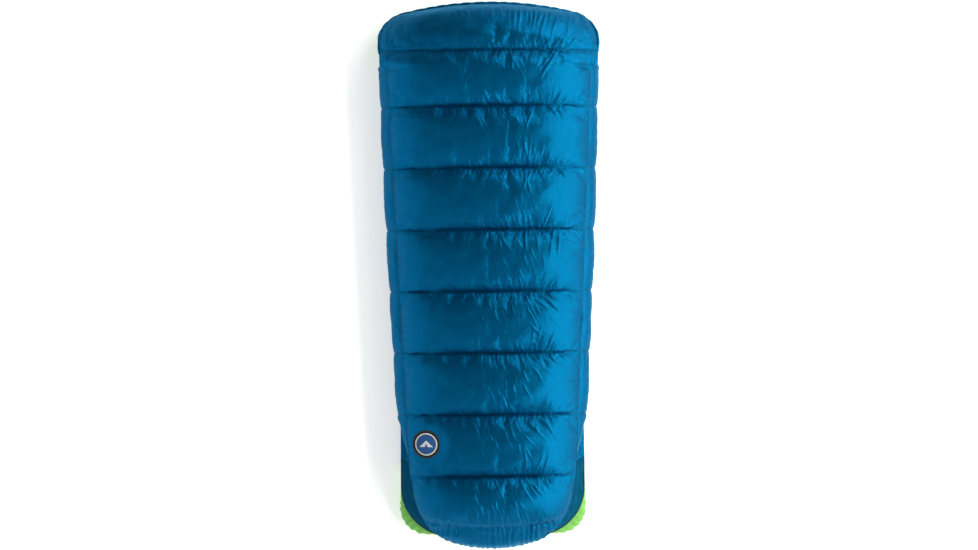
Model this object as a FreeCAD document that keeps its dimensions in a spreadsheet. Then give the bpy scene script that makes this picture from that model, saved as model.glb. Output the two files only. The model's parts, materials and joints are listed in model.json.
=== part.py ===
import FreeCAD, Part
import math
import os
import Sketcher
from FreeCAD import Placement, Rotation, Vector

# Camp quilt for one person, lying flat with its side wings folded under it.
# Millimetres. X runs across the quilt, +Y points to the head, +Z is up.
# The origin is on the ground in the middle of the quilt's footprint.

DRIVING_SIZES = [
    ("overall_length", 1850, "head hem to foot hem"),
    ("head_chamber", 168, "depth of the curved first chamber, hem included"),
    ("shoulder_chamber", 190, "spacing of the second chamber's seams"),
    ("chamber_pitch", 207, "spacing of the seams below the shoulders"),
    ("foot_chamber", 171, "last chamber, measured on the centre line"),
    ("side_head_end", 695, "where the side panels stop at the head"),
    ("side_foot_end", -640, "where the side panels stop at the foot"),
    ("head_half_width", 368, "head chamber, centre line to edge"),
    ("neck_seam_half_width", 347, "side seam at the first cross seam"),
    ("foot_seam_half_width", 282, "side seam at the foot end"),
    ("head_corner_depth", 96, "how far the head corners round off lengthways"),
    ("head_corner_width", 130, "how far the head corners round off sideways"),
    ("seam_height", 110, "side seam above the ground"),
    ("ground_seam_height", 14, "wing seam above the ground"),
    ("head_edge_height", 50, "edge of the head chamber above the ground"),
    ("foot_edge_height", 64, "edge of the foot chamber above the ground"),
    ("crown_height", 156, "cross seams on the centre line"),
    ("head_crown_height", 80, "head edge on the centre line"),
    ("foot_crown_height", 78, "foot edge on the centre line"),
    ("loft_above", 36, "how far a filled chamber stands above its seams"),
    ("loft_below", 6, "how far a filled chamber hangs below its seams"),
    ("baffle_height", 16, "shell to lining at the seams"),
    ("edge_height", 5, "shell to lining at the side seams"),
    ("fabric", 1.0, "thickness of shell and lining"),
    ("fill_gap", 4, "air between the fill and the fabric around it"),
    ("fill_inset", 10, "fill kept back from the cross seams"),
    ("side_bulge_head", 27, "side panel beyond its seam, head end"),
    ("side_bulge_foot", 31, "side panel beyond its seam, foot end"),
    ("wing_width_head", 300, "wing, head end"),
    ("wing_width_foot", 215, "wing, foot end"),
    ("wing_height", 26, "wing at its thickest"),
    ("piping_radius", 1.5, "piping in the side seams"),
    ("piping_length", 1327, "piping in the side seams"),
    ("hem_radius", 5, "drawcord tunnel, outside"),
    ("hem_bore", 3.2, "drawcord tunnel, inside radius"),
    ("cord_radius", 1.4, "drawcord"),
    ("pad_pocket_half_width", 314, "stretch pocket for the sleeping pad"),
    ("pad_pocket_mouth", -652, "mouth of the pad pocket"),
    ("pad_pocket_end", -878, "closed end of the pad pocket"),
    ("pad_pocket_corner", 88, "corner radius of the pocket's base"),
    ("pad_panel_corner", 165, "corner radius of the pocket's upper panel"),
    ("pad_panel_height", 51, "underside of the pocket's upper panel"),
    ("pad_wall_height", 43, "stretch side wall of the pocket's base"),
    ("pad_fabric", 1.2, "stretch fabric of the pad pocket"),
    ("elastic_radius", 1.6, "elastic cords"),
    ("patch_radius", 47.5, "round sewn patch, rim included"),
    ("patch_rim", 4.5, "stitched rim of the patch"),
    ("patch_x", -222, "centre of the patch"),
    ("patch_y", -565, "centre of the patch"),
    ("loop_length", 24, "tie loop"),
    ("loop_height", 8, "tie loop"),
    ("loop_strap", 1.4, "thickness of the tie loop's strap"),
    ("loop_width", 10, "width of the tie loop's strap"),
    ("binding_width", 8, "edge binding of the wings"),
    ("binding_height", 5, "edge binding of the wings"),
    ("lock_length", 26, "cord lock body, along its plunger"),
    ("lock_width", 14, "cord lock body, across its plunger"),
    ("lock_bore", 5, "cord lock body, bore radius"),
    ("lock_wall", 3, "cord lock body, closed end of the bore"),
    ("cord_hole", 2.6, "hole for the cord, radius"),
    ("plunger_radius", 4.2, "cord lock plunger"),
    ("plunger_length", 21, "cord lock plunger"),
    ("plunger_travel", 4, "cord lock plunger"),
    ("lock_x", 300, "line that the cord lock slides on"),
    ("lock_y", 645, "cord lock when the hem is open"),
    ("lock_z", 62, "line that the cord lock slides on"),
    ("lock_slide", 70, "travel of the cord lock on its cord"),
]

doc = FreeCAD.newDocument("camp_quilt")
sheet = doc.addObject("Spreadsheet::Sheet", "Sizes")
for row, (alias, value, note) in enumerate(DRIVING_SIZES, start=1):
    sheet.set("A%d" % row, alias)
    sheet.set("B%d" % row, str(value))
    sheet.setAlias("B%d" % row, alias)
    sheet.set("C%d" % row, note)
doc.recompute()


def size(alias):
    """The value of a driving dimension."""
    return float(sheet.get(alias))


HALF_LENGTH = size("overall_length") / 2
NECK = HALF_LENGTH - size("head_chamber")
SIDE_HEAD = size("side_head_end")
SIDE_FOOT = size("side_foot_end")
FABRIC = size("fabric")
GAP = size("fill_gap")
PIPING_CLEARANCE = 4.0      # the sheets stop this far inside a seam's piping
PITCHED_CHAMBERS = 6
HEM_SAG = 25.0              # the foot hem curves down this much at its middle
HEAD_SAG = 35.0             # the head edge curves up this much at its middle
CORNER_SWEEP = math.radians(60)
HEAD_ROUNDING = NECK + 38   # where the head corners start
HEAD_EDGE = HEAD_ROUNDING + size("head_corner_depth") * math.sin(CORNER_SWEEP)
FOOT_EDGE = -HALF_LENGTH + HEM_SAG
FOOT_CURVE = 286.0          # length of the curve that closes the foot
FLARE_START = SIDE_HEAD + 12    # the top widens from the side seams to the head chamber
FLARE_END = NECK - 10


def cross_seams():
    """Rows of the sewn cross seams, from the neck to the foot hem."""
    rows = [NECK, NECK - size("shoulder_chamber")]
    for _ in range(PITCHED_CHAMBERS):
        rows.append(rows[-1] - size("chamber_pitch"))
    rows.append(rows[-1] - size("foot_chamber") + HEM_SAG)
    return rows


SEAMS = cross_seams()
FOOT_HEM = SEAMS[-1]


def smooth(value):
    value = min(1.0, max(0.0, value))
    return value * value * (3 - 2 * value)


def mix(first, second, share):
    return first + (second - first) * share


def side_seam(row):
    """Half the distance between the side seams at this row."""
    share = (NECK - row) / (NECK - SIDE_FOOT)
    return mix(size("neck_seam_half_width"), size("foot_seam_half_width"), share)


def half_width(row):
    """Centre line to the edge of the quilt's top at this row."""
    if row > HEAD_ROUNDING:
        turn = math.asin(min(1.0, (row - HEAD_ROUNDING) / size("head_corner_depth")))
        return size("head_half_width") - size("head_corner_width") * (1 - math.cos(turn))
    if row > SIDE_FOOT:
        share = smooth((row - FLARE_START) / (FLARE_END - FLARE_START))
        return mix(side_seam(row), size("head_half_width"), share)
    curve = (SIDE_FOOT - row) / FOOT_CURVE
    return size("foot_seam_half_width") * (1 - curve ** 2.6) ** (1 / 2.6)


def edge_height(row):
    """Height of the top's side edge."""
    if row > SIDE_FOOT:
        share = smooth((row - SIDE_HEAD) / (HEAD_EDGE - SIDE_HEAD))
        return mix(size("seam_height"), size("head_edge_height"), share)
    share = ((SIDE_FOOT - row) / (SIDE_FOOT - FOOT_EDGE)) ** 3
    return mix(size("seam_height"), size("foot_edge_height"), share)


def crown_height(row):
    """Height of the sewn seams' level on the centre line."""
    if row > SIDE_FOOT:
        share = smooth((row - NECK) / (HEAD_EDGE - NECK))
        return mix(size("crown_height"), size("head_crown_height"), share)
    share = ((SIDE_FOOT - row) / (SIDE_FOOT - FOOT_EDGE)) ** 3
    return mix(size("crown_height"), size("foot_crown_height"), share)


def valley(row, across):
    """Height of the seams' level; across runs from -1 to 1."""
    return mix(crown_height(row), edge_height(row), across ** 2)


def baffle_depth(across):
    return mix(size("baffle_height"), size("edge_height"), across ** 6)


def swell(share):
    """Profile of a filled chamber between two seams, 0 at both."""
    return max(0.0, math.sin(math.pi * share)) ** 0.75


def chamber_share(row):
    """How far a row is through its own chamber, from 0 to 1."""
    bounds = [HEAD_EDGE] + SEAMS + [FOOT_EDGE]
    for upper, lower in zip(bounds, bounds[1:]):
        if row >= lower:
            return (upper - row) / (upper - lower)
    return 1.0


def plan_point(row, across, inset=0.0):
    """Plan position of a point of the top, with the curved head and foot edges."""
    x = across * (half_width(row) - inset)
    head = HEAD_SAG * smooth((row - NECK) / (HEAD_EDGE - NECK))
    foot = HEM_SAG * smooth((SEAMS[-2] - row) / (SEAMS[-2] - FOOT_HEM))
    return x, row + (head - foot) * (1 - across ** 2)


def shell_height(row, across):
    """Upper face of the outer shell."""
    loft = size("loft_above") * swell(chamber_share(row)) * (1 - across ** 4)
    return valley(row, across) + loft


def lining_height(row, across):
    """Lower face of the lining."""
    hang = size("loft_below") * swell(chamber_share(row)) * (1 - across ** 4)
    return valley(row, across) - baffle_depth(across) - FABRIC - hang


def spaced(first, last, count):
    return [mix(first, last, i / (count - 1)) for i in range(count)]


def crowded(first, last, count):
    """Values from first to last that crowd towards both ends."""
    return [mix(first, last, (1 - math.cos(math.pi * i / (count - 1))) / 2) for i in range(count)]


def surface_through(grid):
    surface = Part.BSplineSurface()
    surface.interpolate(grid)
    return surface


def solid_between(upper, lower):
    """Closed solid between two grids of points that have the same layout."""
    top = surface_through(upper)
    bottom = surface_through(lower)
    faces = [top.toShape(), bottom.toShape()]
    u_low, u_high, v_low, v_high = top.bounds()
    p_low, p_high, q_low, q_high = bottom.bounds()
    edges = [
        (top.uIso(u_low), bottom.uIso(p_low)),
        (top.uIso(u_high), bottom.uIso(p_high)),
        (top.vIso(v_low), bottom.vIso(q_low)),
        (top.vIso(v_high), bottom.vIso(q_high)),
    ]
    for above, below in edges:
        faces.append(Part.makeRuledSurface(above.toShape(), below.toShape()))
    shell = Part.Shell(faces)
    shell.sewShape()
    solid = Part.Solid(shell)
    if solid.Volume < 0:
        solid.reverse()
    return solid


def grid_of(rows, columns, point):
    return [[point(row, column) for column in columns] for row in rows]


def add_shape(label, shape, placement=None):
    """A sub-part whose free-form shape is computed from the sheet's sizes."""
    feature = doc.addObject("Part::Feature", label)
    feature.Label = label
    feature.Shape = shape
    if placement:
        feature.Placement = placement
    sub_parts.append(feature)
    return feature


sub_parts = []
COLUMNS = [-1, -0.93, -0.82, -0.68, -0.5, -0.26, 0, 0.26, 0.5, 0.68, 0.82, 0.93, 1]


# ---------------------------------------------------------------- quilt top

def chamber_rows(upper, lower):
    """Rows of one chamber, its upper seam included and its lower seam left out."""
    return [mix(upper, lower, share) for share in (0, 0.08, 0.2, 0.36, 0.5, 0.64, 0.8, 0.92)]


def head_rows():
    """Rows of the first chamber, from the head edge to the neck seam."""
    rounding = [HEAD_ROUNDING + size("head_corner_depth") * math.sin(CORNER_SWEEP * share)
                for share in (1, 0.9, 0.75, 0.55, 0.3)]
    return rounding + [HEAD_ROUNDING, mix(HEAD_ROUNDING, NECK, 0.5), mix(HEAD_ROUNDING, NECK, 0.8)]


def top_rows():
    rows = head_rows()
    for upper, lower in zip(SEAMS, SEAMS[1:]):
        rows += chamber_rows(upper, lower)
    rows += [FLARE_START, FOOT_HEM]
    return sorted(rows, reverse=True)


def top_sheet(height, thickness):
    """One sheet of fabric that covers the whole top; height gives its upper face."""
    def point(drop):
        def place(row, across):
            x, y = plan_point(row, across, PIPING_CLEARANCE)
            return Vector(x, y, height(row, across) - drop)
        return place
    rows = top_rows()
    return solid_between(grid_of(rows, COLUMNS, point(0)), grid_of(rows, COLUMNS, point(thickness)))


def down_fill(upper, lower):
    """The down in one chamber of the top."""
    inset = size("fill_inset")
    rows = spaced(upper - inset, lower + inset, 7)
    columns = [column * 0.93 for column in COLUMNS]

    def above(row, across):
        x, y = plan_point(row, across, PIPING_CLEARANCE)
        return Vector(x, y, shell_height(row, across) - FABRIC - GAP)

    def below(row, across):
        x, y = plan_point(row, across, PIPING_CLEARANCE)
        return Vector(x, y, lining_height(row, across) + FABRIC + GAP)
    return solid_between(grid_of(rows, columns, above), grid_of(rows, columns, below))


add_shape("top_shell", top_sheet(shell_height, FABRIC))
add_shape("top_lining", top_sheet(lambda row, across: lining_height(row, across) + FABRIC, FABRIC))
chamber_bounds = [HEAD_EDGE] + SEAMS
for number, (upper, lower) in enumerate(zip(chamber_bounds, chamber_bounds[1:]), start=1):
    add_shape("down_fill_%d" % number, down_fill(upper, lower))


# ------------------------------------------------------- sketches and bodies

def origin_plane(body, role):
    for feature in body.Origin.OriginFeatures:
        if feature.Role == role:
            return feature
    raise ValueError(role)


def add_body(label, placement=None):
    body = doc.addObject("PartDesign::Body", label)
    body.Label = label
    if placement:
        body.Placement = placement
    sub_parts.append(body)
    return body


def add_sketch(body, name, role="XY_Plane"):
    sketch = body.newObject("Sketcher::SketchObject", name)
    sketch.AttachmentSupport = [(origin_plane(body, role), "")]
    sketch.MapMode = "FlatFace"
    return sketch


def add_lines(sketch, points):
    """A closed outline of straight lines."""
    for start, end in zip(points, points[1:] + points[:1]):
        sketch.addGeometry(Part.LineSegment(start, end))


def add_pad(body, sketch, length, both_ways=False):
    pad = body.newObject("PartDesign::Pad", body.Label + "_pad")
    pad.Profile = sketch
    pad.setExpression("Length", length)
    pad.Midplane = both_ways
    sketch.Visibility = False
    return pad


def arc_through(start, middle, end):
    return Part.Arc(start, middle, end)


# Baffle walls stand in the cross seams, between the shell and the lining.
BAFFLE_REACH = 0.78
BAFFLE_CLEARANCE = 1.6


def baffle_wall(number, row):
    """A mesh wall as deep as the gap between the sheets, cut to the quilt's arch."""
    body = add_body("baffle_wall_%d" % number, Placement(Vector(0, row, 0), Rotation()))
    sketch = add_sketch(body, "baffle_outline_%d" % number, "XZ_Plane")
    reach = BAFFLE_REACH * (half_width(row) - PIPING_CLEARANCE)
    lift = FABRIC + BAFFLE_CLEARANCE
    top_mid = valley(row, 0) - lift
    top_end = valley(row, BAFFLE_REACH) - lift
    depth = size("baffle_height") * 0.6 - BAFFLE_CLEARANCE
    corners = [
        Vector(-reach, top_end, 0), Vector(reach, top_end, 0),
        Vector(reach, top_end - depth, 0), Vector(-reach, top_end - depth, 0),
    ]
    sketch.addGeometry(arc_through(corners[0], Vector(0, top_mid, 0), corners[1]))
    sketch.addGeometry(Part.LineSegment(corners[1], corners[2]))
    sketch.addGeometry(arc_through(corners[2], Vector(0, top_mid - depth, 0), corners[3]))
    sketch.addGeometry(Part.LineSegment(corners[3], corners[0]))
    add_pad(body, sketch, "Sizes.fabric * 0.8", both_ways=True)


for number, row in enumerate(SEAMS[:-1], start=1):
    baffle_wall(number, row)


# ---------------------------------------------------------------- side seams

SEAM_TURN = math.degrees(math.atan2(
    size("neck_seam_half_width") - size("foot_seam_half_width"), NECK - SIDE_FOOT))
SIDES = (("left", -1), ("right", 1))


def seam_piping(label, side, height_alias):
    """A round piping that lies on a side seam, which is also a hinge line."""
    piping = doc.addObject("Part::Cylinder", label)
    piping.Label = label
    piping.setExpression("Radius", "Sizes.piping_radius")
    piping.setExpression("Height", "Sizes.piping_length")
    start = SIDE_FOOT + 4
    turn = Rotation(Vector(0, 0, 1), -side * SEAM_TURN)
    lie_down = Rotation(Vector(1, 0, 0), -90)
    base = Vector(side * side_seam(start), start, size(height_alias))
    piping.Placement = Placement(base, turn.multiply(lie_down))
    sub_parts.append(piping)


for name, side in SIDES:
    seam_piping("seam_piping_" + name, side, "seam_height")
    seam_piping("wing_piping_" + name, side, "ground_seam_height")


# --------------------------------------------------------------- side panels

SIDE_ENDS = 30.0            # length over which the side panels close at their ends
SIDE_START = 0.04           # the sheets keep clear of both pipings
SIDE_SEAMS = [row for row in SEAMS if SIDE_FOOT < row < SIDE_HEAD]


def seam_pinch(row):
    """1 in the middle of a chamber, less at its seams."""
    return 0.78 + 0.22 * swell(chamber_share(row))


def end_taper(row):
    reach = min(SIDE_HEAD - row, row - SIDE_FOOT) / SIDE_ENDS
    return 0.35 + 0.65 * smooth(reach)


def side_bulge(row):
    share = (NECK - row) / (NECK - SIDE_FOOT)
    bulge = mix(size("side_bulge_head"), size("side_bulge_foot"), share)
    return bulge + 8 * math.sin(math.pi * share)


def side_outer(row, share):
    swollen = max(0.0, math.sin(math.pi * share)) ** 0.8
    return side_seam(row) + side_bulge(row) * swollen * seam_pinch(row) * end_taper(row)


def side_inner(row, share):
    return side_seam(row) - 1.2 - 4 * math.sin(math.pi * share)


def side_height(share):
    return mix(size("seam_height"), size("ground_seam_height"), share)


def side_rows():
    rows = [SIDE_HEAD, SIDE_HEAD - 12, SIDE_HEAD - 30]
    rows += [row for row in top_rows() if SIDE_FOOT + 34 < row < SIDE_HEAD - 34]
    return rows + [SIDE_FOOT + 30, SIDE_FOOT + 12, SIDE_FOOT]


def side_sheet(side, place, offset):
    """A side sheet; place gives its outer face and offset its thickness."""
    shares = crowded(SIDE_START, 1 - SIDE_START, 9)

    def outer(row, share):
        return Vector(side * place(row, share), row, side_height(share))

    def inner(row, share):
        return Vector(side * (place(row, share) - offset), row, side_height(share))
    return solid_between(grid_of(side_rows(), shares, outer), grid_of(side_rows(), shares, inner))


def side_chambers():
    """Upper and lower rows of the side panels' chambers."""
    bounds = [SIDE_HEAD - 8] + SIDE_SEAMS + [SIDE_FOOT + 8]
    return list(zip(bounds, bounds[1:]))


def side_pocket_of_down(side, upper, lower):
    inset = size("fill_inset")
    shares = crowded(0.16, 0.84, 7)

    def outer(row, share):
        return Vector(side * (side_outer(row, share) - FABRIC - GAP), row, side_height(share))

    def inner(row, share):
        return Vector(side * (side_inner(row, share) + FABRIC + GAP * 0.5), row, side_height(share))
    rows = spaced(upper - inset, lower + inset, 5)
    return solid_between(grid_of(rows, shares, outer), grid_of(rows, shares, inner))


for name, side in SIDES:
    add_shape("side_shell_" + name, side_sheet(side, side_outer, FABRIC))
    add_shape("side_lining_" + name, side_sheet(side, side_inner, FABRIC))
    pockets = [side_pocket_of_down(side, upper, lower) for upper, lower in side_chambers()
               if upper - lower > 60]
    add_shape("side_fill_" + name, Part.Compound(pockets))


# --------------------------------------------------------------------- wings

WING_HEAD = SIDE_HEAD - 5
WING_FOOT = SIDE_FOOT + 10


def wing_width(row):
    share = (WING_HEAD - row) / (WING_HEAD - WING_FOOT)
    return mix(size("wing_width_head"), size("wing_width_foot"), share)


def wing_x(row, share):
    """Distance from the centre line; share runs from the ground seam to the free edge."""
    outer = side_seam(row) - PIPING_CLEARANCE
    free = side_seam(row) - wing_width(row) + size("binding_width") + 2
    return mix(outer, free, share)


WING_SEAM_LIFT = 11         # the wing's lower face rises this much to the ground seam
WING_EDGE_LIFT = 3          # and this much to its free edge
WING_EDGE_HEIGHT = 7        # the wing's upper face at its free edge
WING_SEAM_HEIGHT = 17       # and at its seam


def wing_under(row, share):
    """Lower face of the wing, flat on the ground but for its two edges."""
    at_seam = WING_SEAM_LIFT * (1 - smooth(share / 0.16))
    at_edge = WING_EDGE_LIFT * smooth((share - 0.9) / 0.1)
    return at_seam + at_edge


def wing_over(row, share):
    """Upper face of the wing."""
    base = mix(WING_SEAM_HEIGHT, WING_EDGE_HEIGHT, share)
    crown = size("wing_height") - (WING_SEAM_HEIGHT + WING_EDGE_HEIGHT) / 2
    loft = crown * math.sin(math.pi * share) ** 0.6 if 0 < share < 1 else 0.0
    ends = smooth(min(WING_HEAD - row, row - WING_FOOT) / SIDE_ENDS)
    return base + loft * (0.72 + 0.28 * swell(chamber_share(row))) * (0.4 + 0.6 * ends)


def wing_rows():
    rows = [WING_HEAD, WING_HEAD - 12, WING_HEAD - 30]
    rows += [row for row in top_rows() if WING_FOOT + 34 < row < WING_HEAD - 34]
    return rows + [WING_FOOT + 30, WING_FOOT + 12, WING_FOOT]


WING_SHARES = crowded(0, 1, 11)


def wing_sheet(side, height, rows, shares, thickness):
    def above(row, share):
        return Vector(side * wing_x(row, share), row, height(row, share) + thickness)

    def below(row, share):
        return Vector(side * wing_x(row, share), row, height(row, share))
    return solid_between(grid_of(rows, shares, above), grid_of(rows, shares, below))


def wing_pocket_of_down(side, upper, lower):
    inset = size("fill_inset")
    shares = crowded(0.12, 0.9, 7)
    rows = spaced(upper - inset, lower + inset, 5)

    def above(row, share):
        return Vector(side * wing_x(row, share), row, wing_over(row, share) - FABRIC - GAP * 0.6)

    def below(row, share):
        return Vector(side * wing_x(row, share), row, wing_under(row, share) + FABRIC + GAP * 0.6)
    return solid_between(grid_of(rows, shares, above), grid_of(rows, shares, below))


def free_edge_turn():
    """Angle between the wing's free edge and the centre line, in degrees."""
    run = side_seam(WING_HEAD) - wing_width(WING_HEAD) - side_seam(WING_FOOT) + wing_width(WING_FOOT)
    return math.degrees(math.atan2(run, WING_HEAD - WING_FOOT))


def free_edge(row):
    return side_seam(row) - wing_width(row)


def wing_binding(name, side):
    """A folded tape along the wing's free edge, drawn as its flat outline and padded."""
    turn = Rotation(Vector(0, 0, 1), -side * free_edge_turn())
    base = Vector(side * free_edge(WING_HEAD), WING_HEAD, 5)
    body = add_body("wing_binding_" + name, Placement(base, turn))
    sketch = add_sketch(body, "binding_section_" + name, "XZ_Plane")
    width = size("binding_width")
    half = size("binding_height") / 2
    near, far = sorted((0.0, side * width))
    add_lines(sketch, [Vector(near, -half, 0), Vector(far, -half, 0),
                       Vector(far, half, 0), Vector(near, half, 0)])
    pad = body.newObject("PartDesign::Pad", "binding_pad_" + name)
    pad.Profile = sketch
    pad.Length = (WING_HEAD - WING_FOOT) / math.cos(math.radians(free_edge_turn()))
    doc.recompute()
    if pad.Shape.BoundBox.YMax > 1:
        pad.Reversed = True
        doc.recompute()
    rounding = body.newObject("PartDesign::Fillet", "binding_rounding_" + name)
    long_edges = ["Edge%d" % (i + 1) for i, edge in enumerate(pad.Shape.Edges) if edge.Length > 100]
    rounding.Base = (pad, long_edges)
    rounding.setExpression("Radius", "Sizes.binding_height * 0.3")


# Tie loops, three on each wing, turn about a line beside the free edge.
LOOP_ROWS = {"head": 560, "mid": 50, "foot": -470}


def loop_axis(row):
    """Distance of a loop's turning line from the centre line."""
    return free_edge(row) - size("loop_height") / 2 - 1.6


def tie_loop(name, side, station, row):
    """A strap ring: a racetrack with its strap's thickness, padded by the strap's width."""
    turn = Rotation(Vector(0, 0, 1), -side * free_edge_turn())
    base = Vector(side * loop_axis(row), row, 5)
    label = "tie_loop_%s_%s" % (station, name)
    body = add_body(label, Placement(base, turn))
    sketch = add_sketch(body, label + "_outline", "XZ_Plane")
    reach = size("loop_length") - size("loop_height")
    for radius in (size("loop_height") / 2, size("loop_height") / 2 - size("loop_strap")):
        far = -side * reach
        near_tip = Vector(side * radius, 0, 0)
        far_tip = Vector(far - side * radius, 0, 0)
        sketch.addGeometry(arc_through(Vector(0, -radius, 0), near_tip, Vector(0, radius, 0)))
        sketch.addGeometry(Part.LineSegment(Vector(0, radius, 0), Vector(far, radius, 0)))
        sketch.addGeometry(arc_through(Vector(far, radius, 0), far_tip, Vector(far, -radius, 0)))
        sketch.addGeometry(Part.LineSegment(Vector(far, -radius, 0), Vector(0, -radius, 0)))
    add_pad(body, sketch, "Sizes.loop_width", both_ways=True)


# Hand pockets are single sheets on the wings' lining, open towards the free edge.
HAND_POCKET = (675, 535)    # upper and lower rows
HAND_POCKET_SHARES = (0.14, 0.82)
HAND_POCKET_LIFT = 1.4

for name, side in SIDES:
    add_shape("wing_shell_" + name,
              wing_sheet(side, wing_under, wing_rows(), WING_SHARES, FABRIC))
    add_shape("wing_lining_" + name,
              wing_sheet(side, lambda row, share: wing_over(row, share) - FABRIC,
                         wing_rows(), WING_SHARES, FABRIC))
    pockets = [wing_pocket_of_down(side, upper, lower) for upper, lower in side_chambers()
               if upper - lower > 60]
    add_shape("wing_fill_" + name, Part.Compound(pockets))
    pocket_rows = spaced(HAND_POCKET[0], HAND_POCKET[1], 9)
    add_shape("hand_pocket_" + name,
              wing_sheet(side, lambda row, share: wing_over(row, share) + HAND_POCKET_LIFT,
                         pocket_rows, spaced(HAND_POCKET_SHARES[0], HAND_POCKET_SHARES[1], 9), FABRIC))
    wing_binding(name, side)
    for station, row in LOOP_ROWS.items():
        tie_loop(name, side, station, row)


# --------------------------------------------------------- head hem and cord

HEM_REACH = size("hem_radius") + 2.0    # tunnel's axis beyond the sheets' edge
HEM_TUCK = 20.0                         # how far the tunnel's ends go in under the neck
HEM_END_DROP = 38.0                     # how far the tunnel's ends sit below the side seam


def head_outline():
    """Plan points of the sheets' edge round the head, from left to right."""
    def edge(row, side):
        x, y = plan_point(row, side, PIPING_CLEARANCE)
        return Vector(x, y, edge_height(row) - size("edge_height") / 2)

    climb = [row for row in reversed(head_rows()) if row > HEAD_ROUNDING - 20]
    left = [edge(row, -1) for row in climb]
    top = []
    for across in (-0.8, -0.5, 0, 0.5, 0.8):
        x, y = plan_point(HEAD_EDGE, across, PIPING_CLEARANCE)
        top.append(Vector(x, y, valley(HEAD_EDGE, across) - 3))
    right = [edge(row, 1) for row in reversed(climb)]
    return left + top + right


def hem_path_points():
    """The outline moved outwards, with both ends tucked in under the head corners."""
    outline = head_outline()
    moved = []
    for before, here, after in zip(outline, outline[1:], outline[2:]):
        along = after - before
        outward = Vector(-along.y, along.x, 0).normalize()
        moved.append(here + outward * HEM_REACH)
    edge = size("head_half_width")
    level = size("seam_height") - HEM_END_DROP
    tucked = [Vector(-edge + HEM_TUCK, NECK - HEM_TUCK, level),
              Vector(-edge, NECK - HEM_TUCK / 4, level + HEM_TUCK / 3)]
    end = [Vector(-point.x, point.y, point.z) for point in reversed(tucked)]
    return tucked + moved + end


def curve_through(points):
    curve = Part.BSplineCurve()
    curve.interpolate(points)
    return curve


def round_bar(curve, radius):
    """A round solid of one radius along a curve."""
    start = curve.value(curve.FirstParameter)
    direction = curve.tangent(curve.FirstParameter)[0]
    circle = Part.Wire(Part.Circle(start, direction, radius).toShape())
    return Part.Wire(curve.toShape()).makePipeShell([circle], True, True)


def head_hem():
    curve = curve_through(hem_path_points())
    return round_bar(curve, size("hem_radius")).cut(round_bar(curve, size("hem_bore")))


def drawcord():
    """The cord in the head hem, with its tail under the right head corner and a knot."""
    x, y, z = size("lock_x"), size("lock_y"), size("lock_z")
    tail_end = y - size("lock_slide") - 22
    start = hem_path_points()[-1]
    bend = Vector(start.x - HEM_TUCK, start.y - HEM_TUCK * 0.75, z + 5)
    turn = Vector(mix(bend.x, x, 0.72), mix(bend.y, y + HEM_TUCK, 0.45), z + 1.5)
    tail = [bend, turn, Vector(x, y + HEM_TUCK + 8, z)]
    straight = [Vector(x, level, z) for level in spaced(y, tail_end, 4)]
    cord = round_bar(curve_through(hem_path_points() + tail + straight), size("cord_radius"))
    knot = Part.makeSphere(size("cord_radius") * 2.2, Vector(x, tail_end - 2, z))
    return cord.fuse(knot)


add_shape("head_hem", head_hem())
add_shape("head_drawcord", drawcord())


# ----------------------------------------------------------------- cord lock

LOCK_PLACE = Vector(size("lock_x"), size("lock_y"), size("lock_z"))
PLUNGER_START = 8.5 - size("plunger_length") / 2    # inner end of the plunger, from the body's centre
LOCK_CORNER = 4.0


def rounded_block(body):
    """The lock's rounded square section, padded along its plunger."""
    sketch = add_sketch(body, "lock_outline", "YZ_Plane")
    half = size("lock_width") / 2
    flat = half - LOCK_CORNER
    bend = LOCK_CORNER * math.sqrt(0.5)
    for turn in range(4):
        rotate = Rotation(Vector(0, 0, 1), 90 * turn)
        start = rotate.multVec(Vector(half, -flat, 0))
        end = rotate.multVec(Vector(half, flat, 0))
        middle = rotate.multVec(Vector(flat + bend, flat + bend, 0))
        stop = rotate.multVec(Vector(flat, half, 0))
        sketch.addGeometry(Part.LineSegment(start, end))
        sketch.addGeometry(arc_through(end, middle, stop))
    return add_pad(body, sketch, "Sizes.lock_length", both_ways=True)


def add_circle(sketch, alias):
    """A circle on the sketch's origin, its radius bound to the sheet."""
    sketch.addGeometry(Part.Circle(Vector(0, 0, 0), Vector(0, 0, 1), size(alias)))
    sketch.addConstraint(Sketcher.Constraint("Coincident", 0, 3, -1, 1))
    radius = sketch.addConstraint(Sketcher.Constraint("Radius", 0, size(alias)))
    sketch.setExpression("Constraints[%d]" % radius, "Sizes." + alias)


def cut_round(body, name, role, alias, depth, offset, both_ways=False):
    """A round pocket whose sketch stands off its origin plane, with its cut checked."""
    before = body.Tip.Shape.Volume
    sketch = add_sketch(body, name + "_outline", role)
    sketch.AttachmentOffset = Placement(offset, Rotation())
    add_circle(sketch, alias)
    pocket = body.newObject("PartDesign::Pocket", name)
    pocket.Profile = sketch
    pocket.setExpression("Length", depth)
    pocket.Midplane = both_ways
    doc.recompute()
    if pocket.Shape.Volume > before - 1:
        pocket.Reversed = True
        doc.recompute()
    if pocket.Shape.Volume > before - 1:
        raise ValueError(name + " removes nothing")
    return pocket


def lock_body():
    body = add_body("cord_lock_body", Placement(LOCK_PLACE, Rotation()))
    rounded_block(body)
    doc.recompute()
    mouth = Vector(0, 0, size("lock_length") / 2)
    cut_round(body, "lock_bore", "YZ_Plane", "lock_bore",
              "Sizes.lock_length - Sizes.lock_wall", mouth)
    cut_round(body, "lock_cord_hole", "XZ_Plane", "cord_hole",
              "Sizes.lock_width * 2", Vector(0, 0, 0), both_ways=True)


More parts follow.
